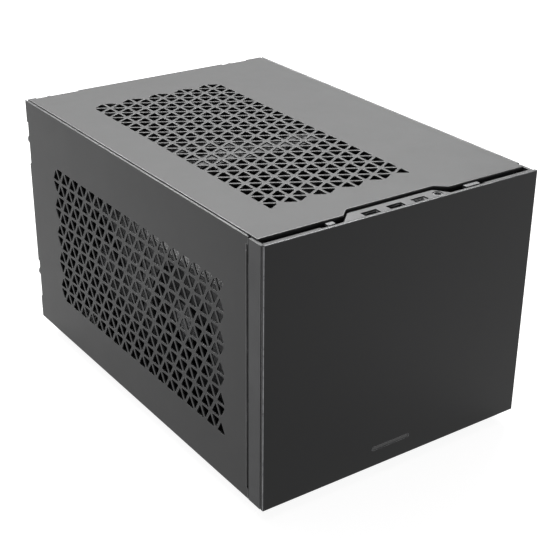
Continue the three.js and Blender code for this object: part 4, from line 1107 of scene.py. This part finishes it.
g = Geo()
g.box(-58.4, -55.2, -91, 156, 37, 135, 0.4, 0, 1)
n = 92
for k in range(n):
    y = -91.5 + k * 2.66
    g.box(-75.9, -58.3, y, y + 0.45, 36.5, 135.5, 0.1, 0, 1)
for z in (52, 70, 102, 120):
    g.tube([(-68, -92.5, z), (-68, 30, z), (-68, 152.5, z)], 3.0, 12, 2)
piece("graphics_cooler_fins", g, [alloy, alloy_edge, copper], "chassis", ("gpu_heatsink",))

g = Geo()
face = rounded([(-97, 40), (-88, 31), (158, 31), (168, 41), (168, 131), (158, 141), (-88, 141), (-97, 132)], 3, 4)
g.plate(face, [circle(104, 86, 47, 72), circle(-30, 86, 47, 72)], -96, -94, FX, c=0.6, ch=0.5)
for y in (104, -30):          # rounded fan ducts behind the face
    g.lathe((0, y, 86), "x", [(47.0, -94.2), (47.2, -90), (47.2, -80), (48.6, -80), (48.6, -94.2), (47.0, -94.2)], 72)
inner = [(p[0], p[1]) for p in face]
g.plate(face, [rounded([(-95, 41), (-87, 33), (157, 33), (166, 42), (166, 130), (157, 139), (-87, 139), (-95, 131)], 2.4, 4)], -94.1, -66, FX, c=0.3, ch=0.2)
for z0, z1 in ((31.4, 33), (139, 140.6)):
    g.box(-66.2, -57, -88, -30, z0, z1, 0.3)
    g.box(-66.2, -57, 100, 158, z0, z1, 0.3)
for s in (-1, 1):             # angular ribs between the fans
    for k in range(4):
        y = 37 + s * (4 + k * 7)
        g.plate(rounded([(y, 86 + 6 + k * 9), (y + s * 3.2, 86 + 6 + k * 9 - 3), (y + s * 3.2 - s * 1, 136 - k * 2), (y, 136 - k * 2)], 0.6, 2), [], -96.0, -94.5, FX, c=0.2, ch=0.1, m=1, e=1)
        g.plate(rounded([(y, 86 - 6 - k * 9), (y + s * 3.2, 86 - 6 - k * 9 + 3), (y + s * 3.2 - s * 1, 36 + k * 2), (y, 36 + k * 2)], 0.6, 2), [], -96.0, -94.5, FX, c=0.2, ch=0.1, m=1, e=1)
for y in (104, -30):          # struts and centre mounts behind the rotors
    g.lathe((0, y, 86), "x", [(0, -77.3), (16, -77.3), (16.5, -76.9), (16.5, -76.2), (0, -76.2)], 36)
    for k in range(4):
        a = math.radians(30 + 90 * k)
        g.tube([(-76.9, y + 15 * math.cos(a), 86 + 15 * math.sin(a)), (-77.2, y + 48 * math.cos(a + 0.3), 86 + 48 * math.sin(a + 0.3))], 0.8, 8)
piece("graphics_shroud", g, [fan, fan_edge], "chassis", ("gpu_shroud",), weld=0.0005)

g = Geo()
grille = [round_rect(-92 + 0.3 + k * 4.6, -92 + 3.0 + k * 4.6, z, z + 22, 1.3, 5) for k in range(5) for z in (30, 56, 82, 108)]
grille = [h for h in grille if max(p[0] for p in h) < -69 and min(p[0] for p in h) > -86]
g.plate(rounded(rect(-95, -51.5, 18, 138), 1.2, 3), [round_rect(-66.4, -57.6, z - 0.4, z + 16.4, 1.0, 4) for z in (50, 72, 94)] + grille, 173, 171.8, FY, c=0.25, ch=0.15)
piece("graphics_bracket", g, [steel, steel_edge], "chassis", ("gpu_bracket",))
g = Geo()
g.plate(rounded(rect(-109.8, -95.6, 18, 138), 1.2, 3), [], 173, 171.8, FY, c=0.25, ch=0.15)
g.plate(round_rect(-105.2, -100.2, 30, 126, 2.4, 6), [], 173.5, 172.9, FY, c=0.3, ch=0.1)
piece("slot_blank", g, [steel, steel_edge], "chassis", ("slot_cover",))

# ------------------------------------------------------------------ power supply
g = Geo()
cy, cz = -71.0, 87.7
holes = []
for j in range(6):
    r0, r1 = 10 + j * 8.0, 16.0 + j * 8.0
    for q in range(4):
        a0, a1 = math.radians(45 + 90 * q) + 2.4 / r0, math.radians(135 + 90 * q) - 2.4 / r0
        seg = 14
        outer = [(cy + r1 * math.cos(a0 + (a1 - a0) * i / seg), cz + r1 * math.sin(a0 + (a1 - a0) * i / seg)) for i in range(seg + 1)]
        innr = [(cy + r0 * math.cos(a1 - (a1 - a0) * i / seg), cz + r0 * math.sin(a1 - (a1 - a0) * i / seg)) for i in range(seg + 1)]
        holes.append(outer + innr)
holes += [circle(cy + a, cz + b, 2.0, 16) for a in (-52.5, 52.5) for b in (-52.5, 52.5)]
g.plate(rounded(rect(-141, -1, 12.7, 162.7), 1.0, 3), holes, 118, 116.8, FX, c=0.35, ch=0.2)
for a in (-66.5, 66.5):
    for b in (-71, 71):
        g.lathe((118, cy + a, cz + b), "x", [(0, -2), (1.4, -2), (1.4, 0.0), (2.7, 0.0), (2.6, 0.12), (0, 0.2)], 18, m=1)
piece("supply_cover_grille", g, [steel, steel_edge], "chassis", ("psu_cover",))
keep("psu_switch", [fan, fan_edge], 0.4, 3, 30)

g = Geo()          # inside the supply, seen through its grille and the card side: board, coils, cans
g.plate(rounded(rect(-138, -6, 16, 160), 1, 2), [], 36.2, 34.6, FX, c=0.1, ch=0.1, m=0, e=0)
for y, z, r, h in ((-120, 40, 15, 45), (-118, 78, 11, 34), (-30, 40, 8, 26), (-30, 60, 8, 26), (-30, 80, 8, 26), (-48, 40, 6, 22), (-48, 56, 6, 22)):
    g.lathe((36.2, y, z), "x", [(0, 0), (r, 0), (r, h - 1), (r - 0.8, h), (0, h)], 28, mats=[1, 1, 1, 2])
g.box(36, 74, -100, -70, 92, 126, 1.2, 3, 3)
g.box(36, 66, -62, -38, 100, 128, 1.0, 3, 3)
for z in (22, 140):
    g.box(36, 78, -112, -30, z, z + 3, 0.3, 4, 5)
    for k in range(9):
        g.box(40, 76, -108 + k * 8.6, -106 + k * 8.6, z + 2.8, z + 9, 0.2, 4, 5)
piece("supply_internals", g, [pcb, plug, solder, copper, alloy, alloy_edge], "chassis")

# ------------------------------------------------------------------ drive and inlet
g = Geo()
g.plate(rounded(rect(-95, 5, 92, 162), 2.5, 5), [circle(x, z, 1.5, 16) for x in (-91, 1) for z in (100, 154)], -157.8, -164.6, FY, c=0.5, ch=0.3)
g.plate(rounded(rect(-84, -6, 101, 153), 2.5, 5), [], -157.74, -158.2, FY, c=0.05, ch=0.05, m=2, e=2)
for x in (-91, 1):
    for z in (100, 154):
        g.lathe((x, -157.9, z), "y", [(0, -1.4), (1.45, -1.4), (1.45, -0.3), (0.9, -0.1), (0, -0.6)], 16, m=3)
piece("drive_shell", g, [dark_alloy, dark_alloy_edge, sticker, solder], "chassis", ("solid_state_drive",))

g = Geo()
x, z = 93.0, 190.0
body_o = rounded([(x - 13.5, z - 10.5), (x + 13.5, z - 10.5), (x + 13.5, z + 10.5), (x - 13.5, z + 10.5)], 1.5, 4)
sock = rounded([(x - 12, z - 8.2), (x + 12, z - 8.2), (x + 12, z + 3.6), (x + 7.6, z + 8.2), (x - 7.6, z + 8.2), (x - 12, z + 3.6)], 1.2, 4)
g.plate(rounded(rect(x - 15.5, x + 15.5, z - 12.5, z + 12.5), 1.6, 5), [sock], 176.8, 174.85, FY, c=0.45, ch=0.3)
g.plate(body_o, [sock], 174.9, 160, FY, c=0.1, ch=0.1)
g.plate(body_o, [], 160.1, 152, FY, c=0.6, ch=0.2)
for px, pz, v in ((x, z + 4, 1), (x - 7, z - 3, 1), (x + 7, z - 3, 1)):
    g.box(px - 1, px + 1, 159, 174, pz - 2, pz + 2, 0.5, 2, 2)
for sx in (-1, 1):
    g.lathe((x + sx * 13.6, 176.8, z + 10.4), "y", [(0, 0.02), (0.7, 0.02), (0.7, -0.3), (0, -0.3)], 12, m=2)
piece("power_inlet_socket", g, [bezel, bezel_edge, nickel], "chassis", ("rear_power_inlet",))


# ------------------------------------------------------------------ internal leads
def bundle(g, route, r, strands, wire_r, twist=1.2, m=0):
    """Strands laid round a route, tied now and then."""
    line = catmull(route, 7)
    n = len(line)
    t0 = (line[1] - line[0]).normalized()
    up = Vector((0, 0, 1)) if abs(t0.z) < 0.9 else Vector((1, 0, 0))
    a = t0.cross(up).normalized()
    frames = []
    for i, p in enumerate(line):
        t = (line[min(i + 1, n - 1)] - line[max(i - 1, 0)]).normalized()
        a = (a - t * a.dot(t)).normalized()
        frames.append((p, a.copy(), t.cross(a), t))
    for s in range(strands):
        pts = []
        ring_r = (r - wire_r) if s else 0.0
        for i, (p, a_, b_, _) in enumerate(frames):
            w = 2 * math.pi * s / max(1, strands - 1) + twist * 2 * math.pi * i / n
            rr = ring_r * (0.93 + 0.07 * math.sin(3 * w + s))
            pts.append(p + a_ * rr * math.cos(w) + b_ * rr * math.sin(w))
        g.tube(pts, wire_r, 7, m)
    for f in (0.22, 0.5, 0.78):
        i = int(n * f)
        p, a_, b_, t = frames[i]
        loop = []
        for k in range(17):
            w = 2 * math.pi * k / 16
            loop.append(p + a_ * (r + 0.15) * math.cos(w) + b_ * (r + 0.15) * math.sin(w))
        g.tube(loop, 0.55, 6, 1)


g = Geo()
g.tube(catmull([(93, 146, 190), (93, 128, 190), (99, 108, 194), (105, 80, 196), (106, 20, 196), (106, -60, 196), (104, -110, 192), (98, -136, 180), (86, -150, 160), (72, -154, 142), (62.5, -154, 131)], 9), 3.5, 16, 0)
for s in range(4):
    g.lathe((93, 142 - s * 3.4, 190), "y", [(3.45, 0), (4.9 - s * 0.3, 0.2), (4.9 - s * 0.3, 2.0), (3.45, 2.2), (3.45, 0)], 20, m=1)
g.box(82, 104, 144, 151.7, 182, 198, 1.0, 1, 1)
g.plate(rounded(rect(49, 76, 117, 137), 2.0, 4), [], -160, -141.4, FY, c=1.0, ch=0.2, m=1, e=1)
piece("inlet_lead", g, [wire, plug], "chassis", ("ac_extension_cable",), weld=0.0005)

g = Geo()
bundle(g, [(62, 4, 118), (70, 12, 120), (84, 20, 114), (98, 34, 96), (105, 48, 72), (105, 57, 52), (105, 58, 46)], 6.3, 11, 1.9)
g.box(46, 79, -0.7, 6, 104, 132, 0.6, 1, 1)
g.box(100.5, 109.5, 33, 83, 33.3, 46, 0.5, 1, 1)
for k in range(12):
    g.box(100.3, 109.7, 34.2 + k * 4.1, 34.5 + k * 4.1, 34, 45.2, 0.05, 2, 2)
piece("main_power_lead", g, [sleeve, plug, chip], "chassis", ("main_power_cable",))

g = Geo()
bundle(g, [(60, 4, 142), (52, 14, 150), (34, 26, 165), (6, 36, 176), (-22, 42, 176), (-42, 45, 168), (-49, 45, 158), (-49, 45, 152)], 4.4, 8, 1.5)
g.box(47, 78, -0.7, 6, 136, 148, 0.6, 1, 1)
g.box(-53, -45.2, 35, 55, 140.3, 154, 0.5, 1, 1)
piece("card_power_lead", g, [sleeve, plug], "chassis", ("gpu_power_cable",))

# ------------------------------------------------------------------ stage and light
floor_mat = Mat("studio_floor", (0.32, 0.32, 0.32), 0.95, 0.0, 0.1)
floor_mat.colour(floor_mat.mix(floor_mat.noise(3, 2), (0.315, 0.315, 0.315), (0.325, 0.325, 0.325)))
floor_mat.b.inputs["Emission Color"].default_value = (1, 1, 1, 1)
_far = floor_mat.t.nodes.new("ShaderNodeVectorMath")
_far.operation = "LENGTH"
floor_mat.link(floor_mat.co, _far.inputs[0])
floor_mat.link(floor_mat.span(_far.outputs["Value"], 0.5, 4.5, 0.9, 1.0, True), floor_mat.b.inputs["Emission Strength"])
bpy.ops.mesh.primitive_plane_add(size=90, location=(0, 0, -0.0002))
floor = bpy.context.active_object
floor.name = "studio_floor"
floor.data.materials.append(floor_mat.m)
wall_mat = Mat("studio_wall", (0.3, 0.3, 0.3), 0.95, 0.0, 0.1)
wall_mat.b.inputs["Emission Color"].default_value = (1, 1, 1, 1)
wall_mat.b.inputs["Emission Strength"].default_value = 1.0
bpy.ops.mesh.primitive_cylinder_add(vertices=96, radius=20, depth=6.6, end_fill_type="NOTHING", location=(0, 0, 3.25))
wall = bpy.context.active_object
wall.name = "studio_wall"
wall.data.materials.append(wall_mat.m)


def area(name, at, look, w, h, power, spread=180):
    d = bpy.data.lights.new(name, "AREA")
    d.shape = "RECTANGLE"
    d.size, d.size_y = w, h
    d.energy = power
    d.spread = math.radians(spread)
    o = bpy.data.objects.new(name, d)
    o.location = at
    o.rotation_mode = "QUATERNION"
    o.rotation_quaternion = (Vector(look) - Vector(at)).to_track_quat("-Z", "Y")
    bpy.context.scene.collection.objects.link(o)
    return o


area("overhead", (0.0, 0.6, 3.0), (0, 0, 0), 5.0, 4.0, 50)
area("behind", (1.05, 2.25, 2.6), (0, 0, 0.25), 3.4, 2.0, 275)
area("front_soft", (-1.8, -2.6, 2.2), (0, 0, 0.2), 3.0, 1.6, 5)

world = bpy.data.worlds.new("world")
bpy.context.scene.world = world
world.use_nodes = True
bg = world.node_tree.nodes["Background"]
bg.inputs["Color"].default_value = (1, 1, 1, 1)
bg.inputs["Strength"].default_value = 0.05
bpy.context.scene.view_settings.view_transform = "Standard"
bpy.context.scene.view_settings.look = "None"
